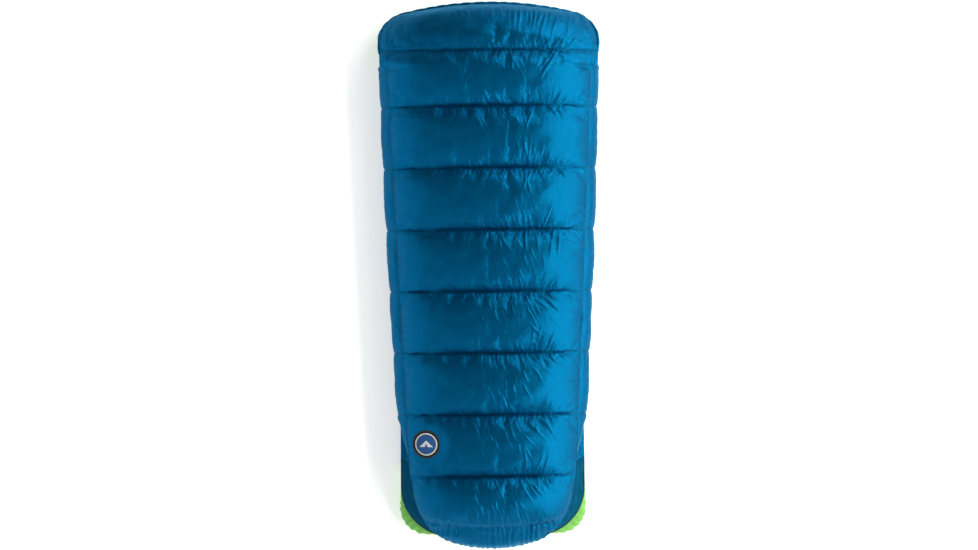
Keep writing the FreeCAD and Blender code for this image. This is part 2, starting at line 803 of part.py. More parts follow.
def lock_plunger():
    """Button with a slot for the cord; it stands out of the bore by its travel and more."""
    base = LOCK_PLACE + Vector(PLUNGER_START, 0, 0)
    body = add_body("cord_lock_plunger", Placement(base, Rotation()))
    sketch = add_sketch(body, "plunger_outline", "YZ_Plane")
    add_circle(sketch, "plunger_radius")
    add_pad(body, sketch, "Sizes.plunger_length")
    doc.recompute()
    before = body.Tip.Shape.Volume
    slot = add_sketch(body, "plunger_slot_outline", "XZ_Plane")
    radius = size("cord_hole") - 0.2
    inner = -PLUNGER_START - 0.4
    outer = inner + size("plunger_travel") + 0.8
    low, high = Vector(inner, -radius, 0), Vector(inner, radius, 0)
    slot.addGeometry(arc_through(high, Vector(inner - radius, 0, 0), low))
    slot.addGeometry(Part.LineSegment(low, Vector(outer, -radius, 0)))
    slot.addGeometry(arc_through(Vector(outer, -radius, 0), Vector(outer + radius, 0, 0),
                                 Vector(outer, radius, 0)))
    slot.addGeometry(Part.LineSegment(Vector(outer, radius, 0), high))
    pocket = body.newObject("PartDesign::Pocket", "plunger_slot")
    pocket.Profile = slot
    pocket.setExpression("Length", "Sizes.lock_width * 2")
    pocket.Midplane = True
    doc.recompute()
    if pocket.Shape.Volume > before - 1:
        raise ValueError("the plunger's slot removes nothing")


def lock_spring():
    """Compression spring between the bore's closed end and the plunger."""
    wire = 0.5
    bore_end = -size("lock_length") / 2 + size("lock_wall")
    room = PLUNGER_START - bore_end - 2 * wire - 1.0
    helix = Part.makeHelix(room / 3.5, room, size("plunger_radius") - 1.2)
    start = helix.Edges[0].Vertexes[0].Point
    circle = Part.Wire(Part.Circle(start, Vector(0, 1, 0.1), wire).toShape())
    spring = Part.Wire(helix.Edges).makePipeShell([circle], True, True)
    lie_down = Rotation(Vector(0, 1, 0), 90)
    shift = LOCK_PLACE + Vector(bore_end + wire + 0.5, 0, 0)
    add_shape("cord_lock_spring", spring, Placement(shift, lie_down))


lock_body()
lock_plunger()
lock_spring()


# ------------------------------------------------------------------ foot end

HEM_THICKNESS = 2.2


def foot_hem():
    """The gathered band that closes the foot, below the last filled chamber."""
    rows = spaced(FOOT_HEM - 3, FOOT_EDGE, 9)

    def height(row, across):
        share = (FOOT_HEM - row) / (FOOT_HEM - FOOT_EDGE)
        return valley(row, across) + 5 * swell(share) * (1 - across ** 4)

    def above(row, across):
        x, y = plan_point(row, across, PIPING_CLEARANCE)
        return Vector(x, y, height(row, across))

    def below(row, across):
        x, y = plan_point(row, across, PIPING_CLEARANCE)
        return Vector(x, y, height(row, across) - HEM_THICKNESS)
    return solid_between(grid_of(rows, COLUMNS, above), grid_of(rows, COLUMNS, below))


def foot_elastic():
    """Elastic cord under the foot hem, just inside its edge."""
    points = []
    for across in spaced(-0.9, 0.9, 9):
        x, y = plan_point(FOOT_EDGE + 9, across, PIPING_CLEARANCE)
        points.append(Vector(x, y, valley(FOOT_EDGE + 9, across) - HEM_THICKNESS - 4.2))
    return round_bar(curve_through(points), size("elastic_radius"))


add_shape("foot_hem", foot_hem())
add_shape("foot_elastic_cord", foot_elastic())


# ---------------------------------------------------------------- pad pocket

def open_outline(sketch, half, mouth, end, corner):
    """A straight mouth and two round corners at the closed end."""
    bend = corner * (1 - math.sqrt(0.5))
    points = {
        "mouth_left": Vector(-half, mouth, 0), "mouth_right": Vector(half, mouth, 0),
        "right_top": Vector(half, end + corner, 0), "right_bottom": Vector(half - corner, end, 0),
        "left_bottom": Vector(corner - half, end, 0), "left_top": Vector(-half, end + corner, 0),
    }
    right_middle = Vector(half - bend, end + bend, 0)
    left_middle = Vector(bend - half, end + bend, 0)
    sketch.addGeometry(Part.LineSegment(points["mouth_left"], points["mouth_right"]))
    sketch.addGeometry(Part.LineSegment(points["mouth_right"], points["right_top"]))
    sketch.addGeometry(arc_through(points["right_top"], right_middle, points["right_bottom"]))
    sketch.addGeometry(Part.LineSegment(points["right_bottom"], points["left_bottom"]))
    sketch.addGeometry(arc_through(points["left_bottom"], left_middle, points["left_top"]))
    sketch.addGeometry(Part.LineSegment(points["left_top"], points["mouth_left"]))


def pocket_base():
    """Stretch base and side wall of the pad pocket, open at its mouth."""
    body = add_body("pad_pocket_base")
    half, mouth = size("pad_pocket_half_width"), size("pad_pocket_mouth")
    end, corner = size("pad_pocket_end"), size("pad_pocket_corner")
    wall = size("pad_fabric")
    outline = add_sketch(body, "pocket_outline")
    open_outline(outline, half, mouth, end, corner)
    add_pad(body, outline, "Sizes.pad_wall_height")
    doc.recompute()
    before = body.Tip.Shape.Volume
    hollow = add_sketch(body, "pocket_hollow")
    hollow.AttachmentOffset = Placement(Vector(0, 0, wall), Rotation())
    open_outline(hollow, half - wall, mouth + 5, end + wall, corner - wall)
    pocket = body.newObject("PartDesign::Pocket", "pocket_room")
    pocket.Profile = hollow
    pocket.setExpression("Length", "Sizes.pad_wall_height")
    pocket.Reversed = True
    doc.recompute()
    if pocket.Shape.Volume > before * 0.5:
        raise ValueError("the pad pocket has no room in it")


def pocket_panel():
    """Upper panel of the pad pocket, joined to the quilt's foot."""
    body = add_body("pad_pocket_panel", Placement(Vector(0, 0, size("pad_panel_height")), Rotation()))
    outline = add_sketch(body, "panel_outline")
    open_outline(outline, size("pad_pocket_half_width") - 4, size("pad_pocket_mouth"),
                 size("pad_pocket_end") + 6, size("pad_panel_corner"))
    add_pad(body, outline, "Sizes.pad_fabric")


def pocket_elastic():
    """Elastic that gathers the pocket's wall, on a plane between wall and panel."""
    level = (size("pad_wall_height") + size("pad_panel_height")) / 2
    body = add_body("pad_pocket_elastic", Placement(Vector(0, 0, level), Rotation()))
    half, end = size("pad_pocket_half_width") - 6, size("pad_pocket_end") + 8
    corner = size("pad_pocket_corner")
    mouth = size("pad_pocket_mouth") - 3
    bend = corner * (1 - math.sqrt(0.5))
    spine = add_sketch(body, "elastic_path")
    spine.addGeometry(Part.LineSegment(Vector(half, mouth, 0), Vector(half, end + corner, 0)))
    spine.addGeometry(arc_through(Vector(half, end + corner, 0), Vector(half - bend, end + bend, 0),
                                  Vector(half - corner, end, 0)))
    spine.addGeometry(Part.LineSegment(Vector(half - corner, end, 0), Vector(corner - half, end, 0)))
    spine.addGeometry(arc_through(Vector(corner - half, end, 0), Vector(bend - half, end + bend, 0),
                                  Vector(-half, end + corner, 0)))
    spine.addGeometry(Part.LineSegment(Vector(-half, end + corner, 0), Vector(-half, mouth, 0)))
    section = add_sketch(body, "elastic_section", "XZ_Plane")
    section.AttachmentOffset = Placement(Vector(0, 0, -mouth), Rotation())
    section.addGeometry(Part.Circle(Vector(half, 0, 0), Vector(0, 0, 1), size("elastic_radius")))
    pipe = body.newObject("PartDesign::AdditivePipe", "elastic_pipe")
    pipe.Profile = section
    pipe.Spine = spine


pocket_base()
pocket_panel()
pocket_elastic()


# --------------------------------------------------------------------- patch

def patch_sheet(lift, thickness):
    """A small square of fabric that follows the shell under the patch."""
    reach = size("patch_radius") + 6
    centre_x, centre_y = size("patch_x"), size("patch_y")
    offsets = spaced(-reach, reach, 9)

    def height(dx, dy):
        row = centre_y + dy
        across = (centre_x + dx) / (half_width(row) - PIPING_CLEARANCE)
        return Vector(centre_x + dx, row, shell_height(row, across) + lift)

    def raised(dx, dy):
        return height(dx, dy) + Vector(0, 0, thickness)
    return solid_between(grid_of(offsets, offsets, raised), grid_of(offsets, offsets, height))


def round_cutter(radius):
    base = Vector(size("patch_x"), size("patch_y"), 0)
    return Part.makeCylinder(radius, size("crown_height") * 2, base)


PATCH_LIFT = 1.0
face_radius = size("patch_radius") - size("patch_rim")
add_shape("patch_face", patch_sheet(PATCH_LIFT, 1.0).common(round_cutter(face_radius - 1.0)))
rim_ring = round_cutter(size("patch_radius")).cut(round_cutter(face_radius))
add_shape("patch_rim", patch_sheet(PATCH_LIFT, 1.8).common(rim_ring))


# ------------------------------------------------------------ check and write

doc.recompute()
for feature in doc.Objects:
    if "Invalid" in feature.State or "Error" in feature.State:
        raise ValueError("%s failed: %s" % (feature.Label, feature.State))
for part in sub_parts:
    if part.Shape.isNull() or not part.Shape.isValid() or part.Shape.Volume <= 0:
        raise ValueError("%s has no valid solid" % part.Label)

os.makedirs("parts", exist_ok=True)
for part in sub_parts:
    part.Shape.exportStep(os.path.join("parts", part.Label + ".step"))
print("%d sub-parts written" % len(sub_parts))
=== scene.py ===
import json
import math

import bpy
import numpy as np
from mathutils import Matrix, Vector
from mathutils.bvhtree import BVHTree


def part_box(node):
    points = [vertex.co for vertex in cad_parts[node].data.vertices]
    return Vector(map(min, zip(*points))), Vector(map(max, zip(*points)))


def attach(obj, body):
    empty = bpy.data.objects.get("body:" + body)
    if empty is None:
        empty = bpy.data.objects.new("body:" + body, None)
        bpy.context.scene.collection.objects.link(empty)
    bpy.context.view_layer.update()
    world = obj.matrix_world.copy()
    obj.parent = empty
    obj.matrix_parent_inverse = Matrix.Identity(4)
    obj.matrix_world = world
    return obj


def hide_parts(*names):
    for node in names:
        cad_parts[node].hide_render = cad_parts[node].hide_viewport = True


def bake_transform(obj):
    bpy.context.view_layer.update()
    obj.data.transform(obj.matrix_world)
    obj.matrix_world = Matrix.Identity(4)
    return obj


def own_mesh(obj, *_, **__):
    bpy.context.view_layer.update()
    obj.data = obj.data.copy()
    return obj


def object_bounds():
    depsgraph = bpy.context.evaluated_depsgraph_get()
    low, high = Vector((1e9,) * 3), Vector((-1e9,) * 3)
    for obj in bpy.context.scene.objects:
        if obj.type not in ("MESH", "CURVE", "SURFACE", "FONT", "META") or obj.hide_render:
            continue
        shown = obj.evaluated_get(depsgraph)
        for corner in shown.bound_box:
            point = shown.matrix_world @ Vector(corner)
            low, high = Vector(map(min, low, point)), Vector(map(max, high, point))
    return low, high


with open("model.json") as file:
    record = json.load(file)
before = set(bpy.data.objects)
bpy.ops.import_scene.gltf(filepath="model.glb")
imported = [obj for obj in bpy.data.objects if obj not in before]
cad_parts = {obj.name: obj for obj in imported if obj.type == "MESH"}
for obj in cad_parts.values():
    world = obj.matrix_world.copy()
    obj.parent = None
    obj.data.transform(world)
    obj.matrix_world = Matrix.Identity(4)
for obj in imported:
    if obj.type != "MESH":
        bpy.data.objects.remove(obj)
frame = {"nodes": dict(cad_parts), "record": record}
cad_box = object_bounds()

# Camp quilt. Lengths in this script are millimetres until a mesh is made; lights are in metres.
MM = 0.001
SHARP = math.radians(62)
TURN = 2 * math.pi
QUARTER = math.pi / 2
SIDES = (("left", -1), ("right", 1))
rng = np.random.default_rng(11)


# ------------------------------------------------ places read from the frame

def box_mm(node_name):
    low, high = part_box(node_name)
    return np.array(low) / MM, np.array(high) / MM


def middle(node_name):
    low, high = box_mm(node_name)
    return (low + high) / 2


HIGH_Y, LOW_Y = cad_box[1][1], cad_box[0][1]
SEAMS = [middle("baffle_wall_%d" % number)[1] for number in range(1, 9)]
NECK = SEAMS[0]
PIPING_LOW, PIPING_HIGH = box_mm("seam_piping_right")
PIPING_WIDTH = PIPING_HIGH[2] - PIPING_LOW[2]
SEAM_Z = middle("seam_piping_right")[2]
GROUND_SEAM_Z = middle("wing_piping_right")[2]
SIDE_FOOT, SIDE_HEAD = [corner[1] for corner in box_mm("side_shell_right")]
SHELL_HIGH = box_mm("top_shell")[1]
WING_FOOT, WING_HEAD = [corner[1] for corner in box_mm("wing_shell_right")]
BASE_LOW, BASE_HIGH = box_mm("pad_pocket_base")
PANEL_LOW, PANEL_HIGH = box_mm("pad_pocket_panel")
PATCH_LOW, PATCH_HIGH = box_mm("patch_rim")
PATCH_X, PATCH_Y = (PATCH_LOW[0] + PATCH_HIGH[0]) / 2, (PATCH_LOW[1] + PATCH_HIGH[1]) / 2
PATCH_RADIUS = (PATCH_HIGH[0] - PATCH_LOW[0]) / 2

# The top follows the CAD top's rules: a half width, an edge height and a crown for every row.
SHEET_INSET = 4.0                               # the CAD sheets stop this far inside the outline
SEAM_REACH = 0.5                                # the sewn sheets reach the piping's surface
HEAD_HALF = SHELL_HIGH[0] + SHEET_INSET
SEAM_SLOPE = (PIPING_HIGH[0] - PIPING_LOW[0] - PIPING_WIDTH) / (PIPING_HIGH[1] - PIPING_LOW[1])
SEAM_X0 = (PIPING_HIGH[0] + PIPING_LOW[0]) / 2 - SEAM_SLOPE * (PIPING_HIGH[1] + PIPING_LOW[1]) / 2
HEAD_SAG, FOOT_SAG = 35.0, 25.0
HEAD_EDGE = SHELL_HIGH[1] - HEAD_SAG
FOOT_EDGE = box_mm("foot_hem")[0][1] + FOOT_SAG
LAST_CHAMBER = 171.0
FOOT_HEM = SEAMS[-1] - LAST_CHAMBER + FOOT_SAG
CORNER_DEPTH, CORNER_WIDTH, CORNER_TURN = 96.0, 130.0, math.radians(60)
HEAD_ROUNDING = HEAD_EDGE - CORNER_DEPTH * math.sin(CORNER_TURN)
FOOT_CURVE, FOOT_POWER = 286.0, 2.6
FOOT_HALF = SEAM_X0 + SEAM_SLOPE * SIDE_FOOT
CROWN_Z, HEAD_CROWN_Z, FOOT_CROWN_Z = 156.0, 80.0, 78.0
HEAD_EDGE_Z, FOOT_EDGE_Z = 50.0, 64.0
LOFT, HEM_LOFT, HANG, BAFFLE = 36.0, 5.0, 6.0, 16.0
FLARE_START, FLARE_LENGTH = SIDE_HEAD - 2, 24
BOUNDS = [HEAD_EDGE] + SEAMS + [FOOT_HEM, FOOT_EDGE]


def smooth(value):
    value = np.clip(value, 0, 1)
    return value * value * (3 - 2 * value)


def mix(first, second, share):
    return first + (second - first) * share


def side_seam(row):
    return SEAM_X0 + SEAM_SLOPE * row


def half_width(row):
    row = np.asarray(row, float)
    turn = np.arcsin(np.clip((row - HEAD_ROUNDING) / CORNER_DEPTH, 0, 1))
    head = HEAD_HALF - CORNER_WIDTH * (1 - np.cos(turn))
    body = mix(side_seam(row), HEAD_HALF, smooth((row - FLARE_START) / FLARE_LENGTH))
    curve = np.clip((SIDE_FOOT - row) / FOOT_CURVE, 0, 1)
    foot = FOOT_HALF * (1 - curve ** FOOT_POWER) ** (1 / FOOT_POWER)
    return np.where(row > HEAD_ROUNDING, head, np.where(row > SIDE_FOOT, body, foot))


def foot_share(row):
    return np.clip((SIDE_FOOT - row) / (SIDE_FOOT - FOOT_EDGE), 0, 1) ** 3


def edge_height(row):
    head = mix(SEAM_Z, HEAD_EDGE_Z, smooth((row - SIDE_HEAD) / (HEAD_EDGE - SIDE_HEAD)))
    return np.where(np.asarray(row) > SIDE_FOOT, head, mix(SEAM_Z, FOOT_EDGE_Z, foot_share(row)))


def crown_height(row):
    share = np.clip((np.asarray(row) - NECK) / (HEAD_EDGE - NECK), 0, 1)
    head = mix(CROWN_Z, HEAD_CROWN_Z, mix(smooth(share), share, 0.75))
    return np.where(np.asarray(row) > SIDE_FOOT, head, mix(CROWN_Z, FOOT_CROWN_Z, foot_share(row)))


def valley(row, across):
    return mix(crown_height(row), edge_height(row), across ** 2)


def chamber_share(row):
    row = np.asarray(row, float)
    share = np.zeros_like(row)
    for upper, lower in zip(BOUNDS, BOUNDS[1:]):
        share = np.where((row <= upper) & (row >= lower), (upper - row) / (upper - lower), share)
    return share


def swell(share, power):
    return np.clip(np.sin(math.pi * share), 0, 1) ** power


def plan(row, across, inset=0.0):
    x = across * (half_width(row) - inset)
    head = HEAD_SAG * smooth((row - NECK) / (HEAD_EDGE - NECK))
    foot = FOOT_SAG * smooth((SEAMS[-1] - row) / (SEAMS[-1] - FOOT_HEM))
    return x, row + (head - foot) * (1 - across ** 2)


# ---------------------------------------------------------------- materials

class Wire:
    """An output socket with arithmetic; each operation adds a Math node."""

    def __init__(self, tree, socket):
        self.tree, self.socket = tree, socket

    def maths(self, operation, other=0.0, swap=False, clamp=False):
        first, second = (other, self) if swap else (self, other)
        made = node(self.tree, "ShaderNodeMath", {0: first, 1: second, 2: 0.0},
                    operation=operation, use_clamp=clamp)
        return Wire(self.tree, made.outputs[0])

    def __add__(self, other):
        return self.maths("ADD", other)

    def __sub__(self, other):
        return self.maths("SUBTRACT", other)

    def __mul__(self, other):
        return self.maths("MULTIPLY", other)

    def __gt__(self, other):
        return self.maths("GREATER_THAN", other)

    def __lt__(self, other):
        return self.maths("LESS_THAN", other)


def connect(tree, socket, value):
    if isinstance(value, Wire):
        tree.links.new(value.socket, socket)
    else:
        socket.default_value = value


def node(tree, kind, inputs=None, **settings):
    made = tree.nodes.new(kind)
    for key, value in settings.items():
        setattr(made, key, value)
    for key, value in (inputs or {}).items():
        connect(tree, made.inputs[key], value)
    return made


def split(tree, vector):
    outputs = node(tree, "ShaderNodeSeparateXYZ", {0: vector}).outputs
    return [Wire(tree, outputs[axis]) for axis in range(3)]


def rgb(colour, factor=1.0, lift=0.0):
    return tuple(min(1, value * factor + lift) for value in colour) + (1.0,)


class Finish:
    """A material in the making: its tree, its shader and short ways to add nodes."""

    def __init__(self, name):
        self.material = bpy.data.materials.new(name)
        self.material.use_nodes = True
        self.tree = self.material.node_tree
        self.shader = self.tree.nodes["Principled BSDF"]

    def place(self, scale=(1, 1, 1)):
        coordinate = Wire(self.tree, node(self.tree, "ShaderNodeTexCoord").outputs["Object"])
        made = node(self.tree, "ShaderNodeMapping", {"Vector": coordinate, "Scale": scale})
        return Wire(self.tree, made.outputs[0])

    def noise(self, vector, scale, detail=2.0, rough=0.5):
        made = node(self.tree, "ShaderNodeTexNoise",
                    {"Vector": vector, "Scale": scale, "Detail": detail, "Roughness": rough})
        return Wire(self.tree, made.outputs["Fac"])

    def value(self, name):
        made = node(self.tree, "ShaderNodeAttribute", attribute_name=name)
        return Wire(self.tree, made.outputs["Fac"])

    def between(self, factor, first, second):
        made = node(self.tree, "ShaderNodeMix", data_type="RGBA", blend_type="MIX")
        for name, value in (("Factor", factor), ("A", first), ("B", second)):
            connect(self.tree, made.inputs[name], value)
        return Wire(self.tree, made.outputs["Result"])

    def bump(self, height, distance, strength, below=None):
        inputs = {"Height": height, "Distance": distance, "Strength": strength}
        if below:
            inputs["Normal"] = below
        return Wire(self.tree, node(self.tree, "ShaderNodeBump", inputs).outputs[0])

    def done(self, **inputs):
        """Sets the shader's inputs, named with underscores for spaces."""
        for name, value in inputs.items():
            connect(self.tree, self.shader.inputs[name.replace("_", " ")], value)
        return self.material


def weave_height(tree, vector, threads_per_metre):
    """Plain weave: two crossed sets of threads."""
    waves = [(part * (threads_per_metre * TURN)).maths("SINE") for part in split(tree, vector)]
    return waves[0] * waves[1] + waves[2] * 0.5


STITCH = dict(offset=0.9, half_width=0.45, pitch=0.0028, gap=0.3)
VARIATION = 0.12


def cloth(name, base, shade_colour, threads, metallic, roughness, crinkle, tint=None, thread=None,
          sheen=0.0, weave=0.00012, stitches=True, specular=0.5):
    """Woven or knitted cloth with crinkles, painted shade in the folds beside its seams and a row of
    stitches.
    """
    made = Finish(name)
    place = made.place()
    small = made.noise(place, 55.0, 4.0, 0.6)
    shade = made.noise(place, 5.0, 3.0) * 0.7 + small * 0.3
    colour = made.between(shade, rgb(base, 1 - VARIATION * 1.4), rgb(base, 1 + VARIATION))
    # Painted shade: beside the seams the colour is mixed towards the given shade colour, in place of the
    # shadow that falls in the folds there.
    painted_shade = made.value("painted_shade")
    colour = made.between(painted_shade * 0.22, colour, rgb(shade_colour))
    if stitches:
        distance = (made.value("seam_mm") - STITCH["offset"]).maths("ABSOLUTE")
        x, _, z = split(made.tree, place)
        dash = ((x + z) * (1 / STITCH["pitch"])).maths("FRACT") > STITCH["gap"]
        sewn = (distance < STITCH["half_width"]) * dash * (painted_shade > 0.5)
        colour = made.between(sewn, colour, rgb(thread or shade_colour))
    folds = made.noise(made.place((1.0, 0.45, 1.0)), 75.0, 5.0, 0.62)
    fine = made.bump(weave_height(made.tree, place, threads), weave, 0.5,
                     made.bump(folds, crinkle, 1.0))
    if tint:
        made.done(Specular_Tint=rgb(tint))
    return made.done(Base_Color=colour, Metallic=metallic, Roughness=small * 0.16 + (roughness - 0.08),
                     Specular_IOR_Level=specular, Sheen_Weight=sheen,
                     Sheen_Tint=rgb(base, 3, 0.05), Normal=fine)


def plastic(name, colour, roughness=0.42):
    made = Finish(name)
    place = made.place()
    scuff = made.noise(place, 120.0, 5.0, 0.7)
    worn = (scuff > 0.62) * 0.35
    return made.done(Base_Color=made.between(worn, rgb(colour), rgb(colour, 2.2, 0.02)),
                     Roughness=scuff * 0.2 + (roughness - 0.1),
                     Normal=made.bump(made.noise(place, 900.0, 3.0), 0.0002, 0.6))


def metal(name):
    made = Finish(name)
    brushed = made.noise(made.place((1, 1, 12)), 500.0, 3.0)
    colour = made.between(brushed, rgb((0.32, 0.33, 0.35)), rgb((0.6, 0.61, 0.63)))
    return made.done(Base_Color=colour, Metallic=1.0, Roughness=brushed * 0.2 + 0.2)


def corded(name, base, fleck, pitch, distance=0.0006, metallic=0.0):
    """Braided cord, piping or webbing: slanted threads over the whole length."""
    made = Finish(name)
    place = made.place()
    x, y, z = split(made.tree, place)
    around = x + z
    braid = ((y + around) * (TURN / pitch)).maths("SINE").maths(
        "MAXIMUM", ((y - around) * (TURN / pitch)).maths("SINE"))
    worn = made.noise(place, 80.0, 3.0)
    colour = made.between((braid > 0.85) * worn, rgb(base), rgb(fleck))
    colour = made.between(worn * 0.4, colour, rgb(base, 0.5))
    return made.done(Base_Color=colour, Metallic=metallic, Roughness=0.68, Specular_IOR_Level=0.2,
                     Sheen_Weight=0.2, Normal=made.bump(braid, distance, 0.8))


def down_material():
    made = Finish("down_clusters")
    place = made.place()
    tufts = made.noise(place, 60.0, 6.0, 0.7)
    height = tufts + made.noise(place, 700.0, 3.0, 0.8) * 0.25
    colour = made.between(tufts, rgb((0.62, 0.6, 0.57)), rgb((0.93, 0.92, 0.9)))
    return made.done(Base_Color=colour, Roughness=0.95, Sheen_Weight=0.5,
                     Normal=made.bump(height, 0.006, 0.9))


def mesh_material():
    """Fine net of the baffle walls."""
    made = Finish("baffle_net")
    x, _, z = split(made.tree, made.place())
    pitch = TURN / 0.0014
    net = ((x + z) * pitch).maths("SINE").maths("MAXIMUM", ((x - z) * pitch).maths("SINE"))
    colour = made.between(net, rgb((0.01, 0.03, 0.05)), rgb((0.1, 0.22, 0.3)))
    return made.done(Base_Color=colour, Roughness=0.7, Normal=made.bump(net, 0.0003, 0.7))


DISC_SHARE, LINE_SHARE, RING_SHARE = 0.66, 0.68, 0.79      # radii on the patch
TENT_TOP, TENT_FOOT, TENT_SLOPE = 13.0, -9.0, 0.95
DOOR_TOP, DOOR_SLOPE = 4.0, 2.6
PATCH_BLUE, PATCH_BLACK = rgb((0.02, 0.1, 0.33)), rgb((0.012, 0.014, 0.018))
PATCH_WHITE, TENT_WHITE = rgb((0.74, 0.75, 0.76)), rgb((0.75, 0.76, 0.77))


def patch_face_material():
    """Twill with a white ring and a plain blue middle that holds a small white tent."""
    made = Finish("patch_twill")
    across, along = made.value("across_mm"), made.value("along_mm")
    aside = across.maths("ABSOLUTE")
    radius = (across * across + along * along).maths("SQRT")
    middle_disc = radius < PATCH_RADIUS * DISC_SHARE
    line = (radius - PATCH_RADIUS * LINE_SHARE).maths("ABSOLUTE") < 0.9
    ground = along > TENT_FOOT
    tent = (aside * TENT_SLOPE + along < TENT_TOP) * ground
    door = (aside * DOOR_SLOPE + along < DOOR_TOP) * ground
    slant = ((across + along) * (TURN / 0.9)).maths("SINE")
    colour = made.between(middle_disc, PATCH_WHITE, PATCH_BLUE)
    for mask, paint in ((radius > PATCH_RADIUS * RING_SHARE, PATCH_BLACK), (tent * middle_disc, TENT_WHITE),
                        (door, PATCH_BLUE), (line, PATCH_BLACK),
                        ((slant + 1.0) * 0.1, rgb((0.02, 0.02, 0.03)))):
        colour = made.between(mask, colour, paint)
    return made.done(Base_Color=colour, Roughness=0.7, Specular_IOR_Level=0.15,
                     Normal=made.bump(slant, 0.00025, 0.8))


def thread_material():
    made = Finish("overlock_thread")
    strand = made.noise(made.place(), 1400.0, 2.0)
    colour = made.between(strand, rgb((0.006, 0.007, 0.009)), rgb((0.035, 0.038, 0.045)))
    return made.done(Base_Color=colour, Roughness=0.6, Specular_IOR_Level=0.25,
                     Normal=made.bump(strand, 0.0003, 0.7))


# The second colour of each pair is painted shade for the folds beside the seams.
SHELL_BLUE, SHELL_SHADE = (0.0005, 0.09, 0.222), (0.0005, 0.014, 0.035)
LIME, LIME_SHADE = (0.15, 0.45, 0.075), (0.05, 0.19, 0.02)

materials = {
    "shell_nylon": cloth("shell_nylon", SHELL_BLUE, SHELL_SHADE, 2600, 0.74, 0.31, 0.0008,
                         tint=(0.0, 0.75, 1.0), thread=(0.002, 0.05, 0.11), specular=0.3),
    "lining_nylon": cloth("lining_nylon", LIME, LIME_SHADE, 2600, 0.05, 0.5, 0.0018,
                          thread=(0.15, 0.3, 0.05), sheen=0.1),
    "stretch_green": cloth("stretch_green", LIME, LIME_SHADE, 900, 0.0, 0.62, 0.0012, sheen=0.25,
                           weave=0.0003, stitches=False),
    "panel_blue": cloth("panel_blue", (0.001, 0.105, 0.215), SHELL_SHADE, 1400, 0.42, 0.42, 0.0012,
                        tint=(0.2, 0.8, 1.0), stitches=False),
    "binding_tape": cloth("binding_tape", (0.002, 0.06, 0.13), SHELL_SHADE, 1300, 0.1, 0.6, 0.0006,
                          weave=0.0003, stitches=False),
    "down": down_material(),
    "baffle_mesh": mesh_material(),
    "piping_tape": corded("piping_tape", (0.0005, 0.08, 0.19), (0.002, 0.12, 0.26), 0.0016, 0.0002, 0.7),
    "webbing": corded("webbing", (0.015, 0.017, 0.02), (0.09, 0.1, 0.11), 0.0022, 0.0004),
    "elastic": corded("elastic", (0.01, 0.012, 0.014), (0.08, 0.085, 0.09), 0.0018, 0.0003),
    "cord": corded("cord", (0.012, 0.014, 0.016), (0.25, 0.45, 0.08), 0.003, 0.0003),
    "lock_plastic": plastic("lock_plastic", (0.012, 0.013, 0.015)),
    "plunger_plastic": plastic("plunger_plastic", (0.03, 0.032, 0.036), 0.36),
    "spring_steel": metal("spring_steel"),
    "patch_cloth": patch_face_material(),
    "patch_thread": thread_material(),
}


def dress(obj, slot):
    obj.data.materials.clear()
    obj.data.materials.append(materials[slot])


def fit(obj, body, slot, node_name=None):
    """Puts a piece on its body, in its material and in the place of its CAD node."""
    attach(obj, body)
    if node_name:
        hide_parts(node_name)
    dress(obj, slot)


# --------------------------------------------------------------- mesh helpers

def make_mesh(name, points, groups):
    """A smooth mesh object from millimetre points and groups of faces of one size each."""
    points = np.ascontiguousarray(points, float).reshape(-1, 3) * MM
    corners = np.concatenate([np.asarray(group).reshape(-1) for group in groups]).astype(np.int32)
    sizes = np.concatenate([np.full(len(group), np.shape(group)[1]) for group in groups])
    starts = np.concatenate([[0], np.cumsum(sizes)[:-1]]).astype(np.int32)
    mesh = bpy.data.meshes.new(name)
    mesh.vertices.add(len(points))
    mesh.vertices.foreach_set("co", points.reshape(-1))
    mesh.loops.add(len(corners))
    mesh.loops.foreach_set("vertex_index", corners)
    mesh.polygons.add(len(starts))
    mesh.polygons.foreach_set("loop_start", starts)
    mesh.update(calc_edges=True)
    mesh.shade_smooth()
    mesh.set_sharp_from_angle(angle=SHARP)
    obj = bpy.data.objects.new(name, mesh)
    bpy.context.scene.collection.objects.link(obj)
    return obj


def point_values(obj, key, field):
    attribute = obj.data.attributes.new(key, "FLOAT", "POINT")
    attribute.data.foreach_set("value", np.asarray(field, np.float32).reshape(-1))


def grid_index(rows, columns, start=0):
    return np.arange(rows * columns).reshape(rows, columns) + start


def quads_of(index, flip=False):
    """Quads of an index grid. Unflipped, rows that run to -Y and columns to +X face up."""
    quads = np.stack([index[:-1, :-1], index[1:, :-1], index[1:, 1:], index[:-1, 1:]], -1)
    quads = quads.reshape(-1, 4)
    return quads[:, ::-1] if flip else quads


def border(index):
    """The rim of an index grid, once round."""
    return np.concatenate([index[0, :-1], index[:-1, -1], index[-1, :0:-1], index[:0:-1, 0]])


def closed_faces(rows, columns, flip):
    """Faces of a body between two grids of points: the outer one, the inner one and their rims."""
    top, low = grid_index(rows, columns), grid_index(rows, columns, rows * columns)
    rim, rim_low = border(top), border(low)
    wall = np.stack([rim, np.roll(rim, -1), np.roll(rim_low, -1), rim_low], -1)
    return np.concatenate([quads_of(top, flip), quads_of(low, not flip),
                           wall[:, ::-1] if flip else wall])


def wrapped(index):
    return np.concatenate([index, index[:, :1]], 1)


def normals_of(grid):
    normal = np.cross(np.gradient(grid, axis=0), np.gradient(grid, axis=1))
    return normal / np.maximum(np.linalg.norm(normal, axis=-1, keepdims=True), 1e-9)


def run_length(path):
    steps = np.linalg.norm(np.diff(path, axis=0), axis=1)
    return np.concatenate([[0], np.cumsum(steps)])


def along_path(path, place):
    """Points of a path at the wanted places along it."""
    length = run_length(path)
    return np.stack([np.interp(place, length, path[:, axis]) for axis in range(path.shape[1])], -1)


def plan_outward(path):
    along = np.gradient(path, axis=0)
    outward = np.stack([-along[:, 1], along[:, 0], np.zeros(len(path))], -1)
    return outward / np.maximum(np.linalg.norm(outward, axis=1, keepdims=True), 1e-9)


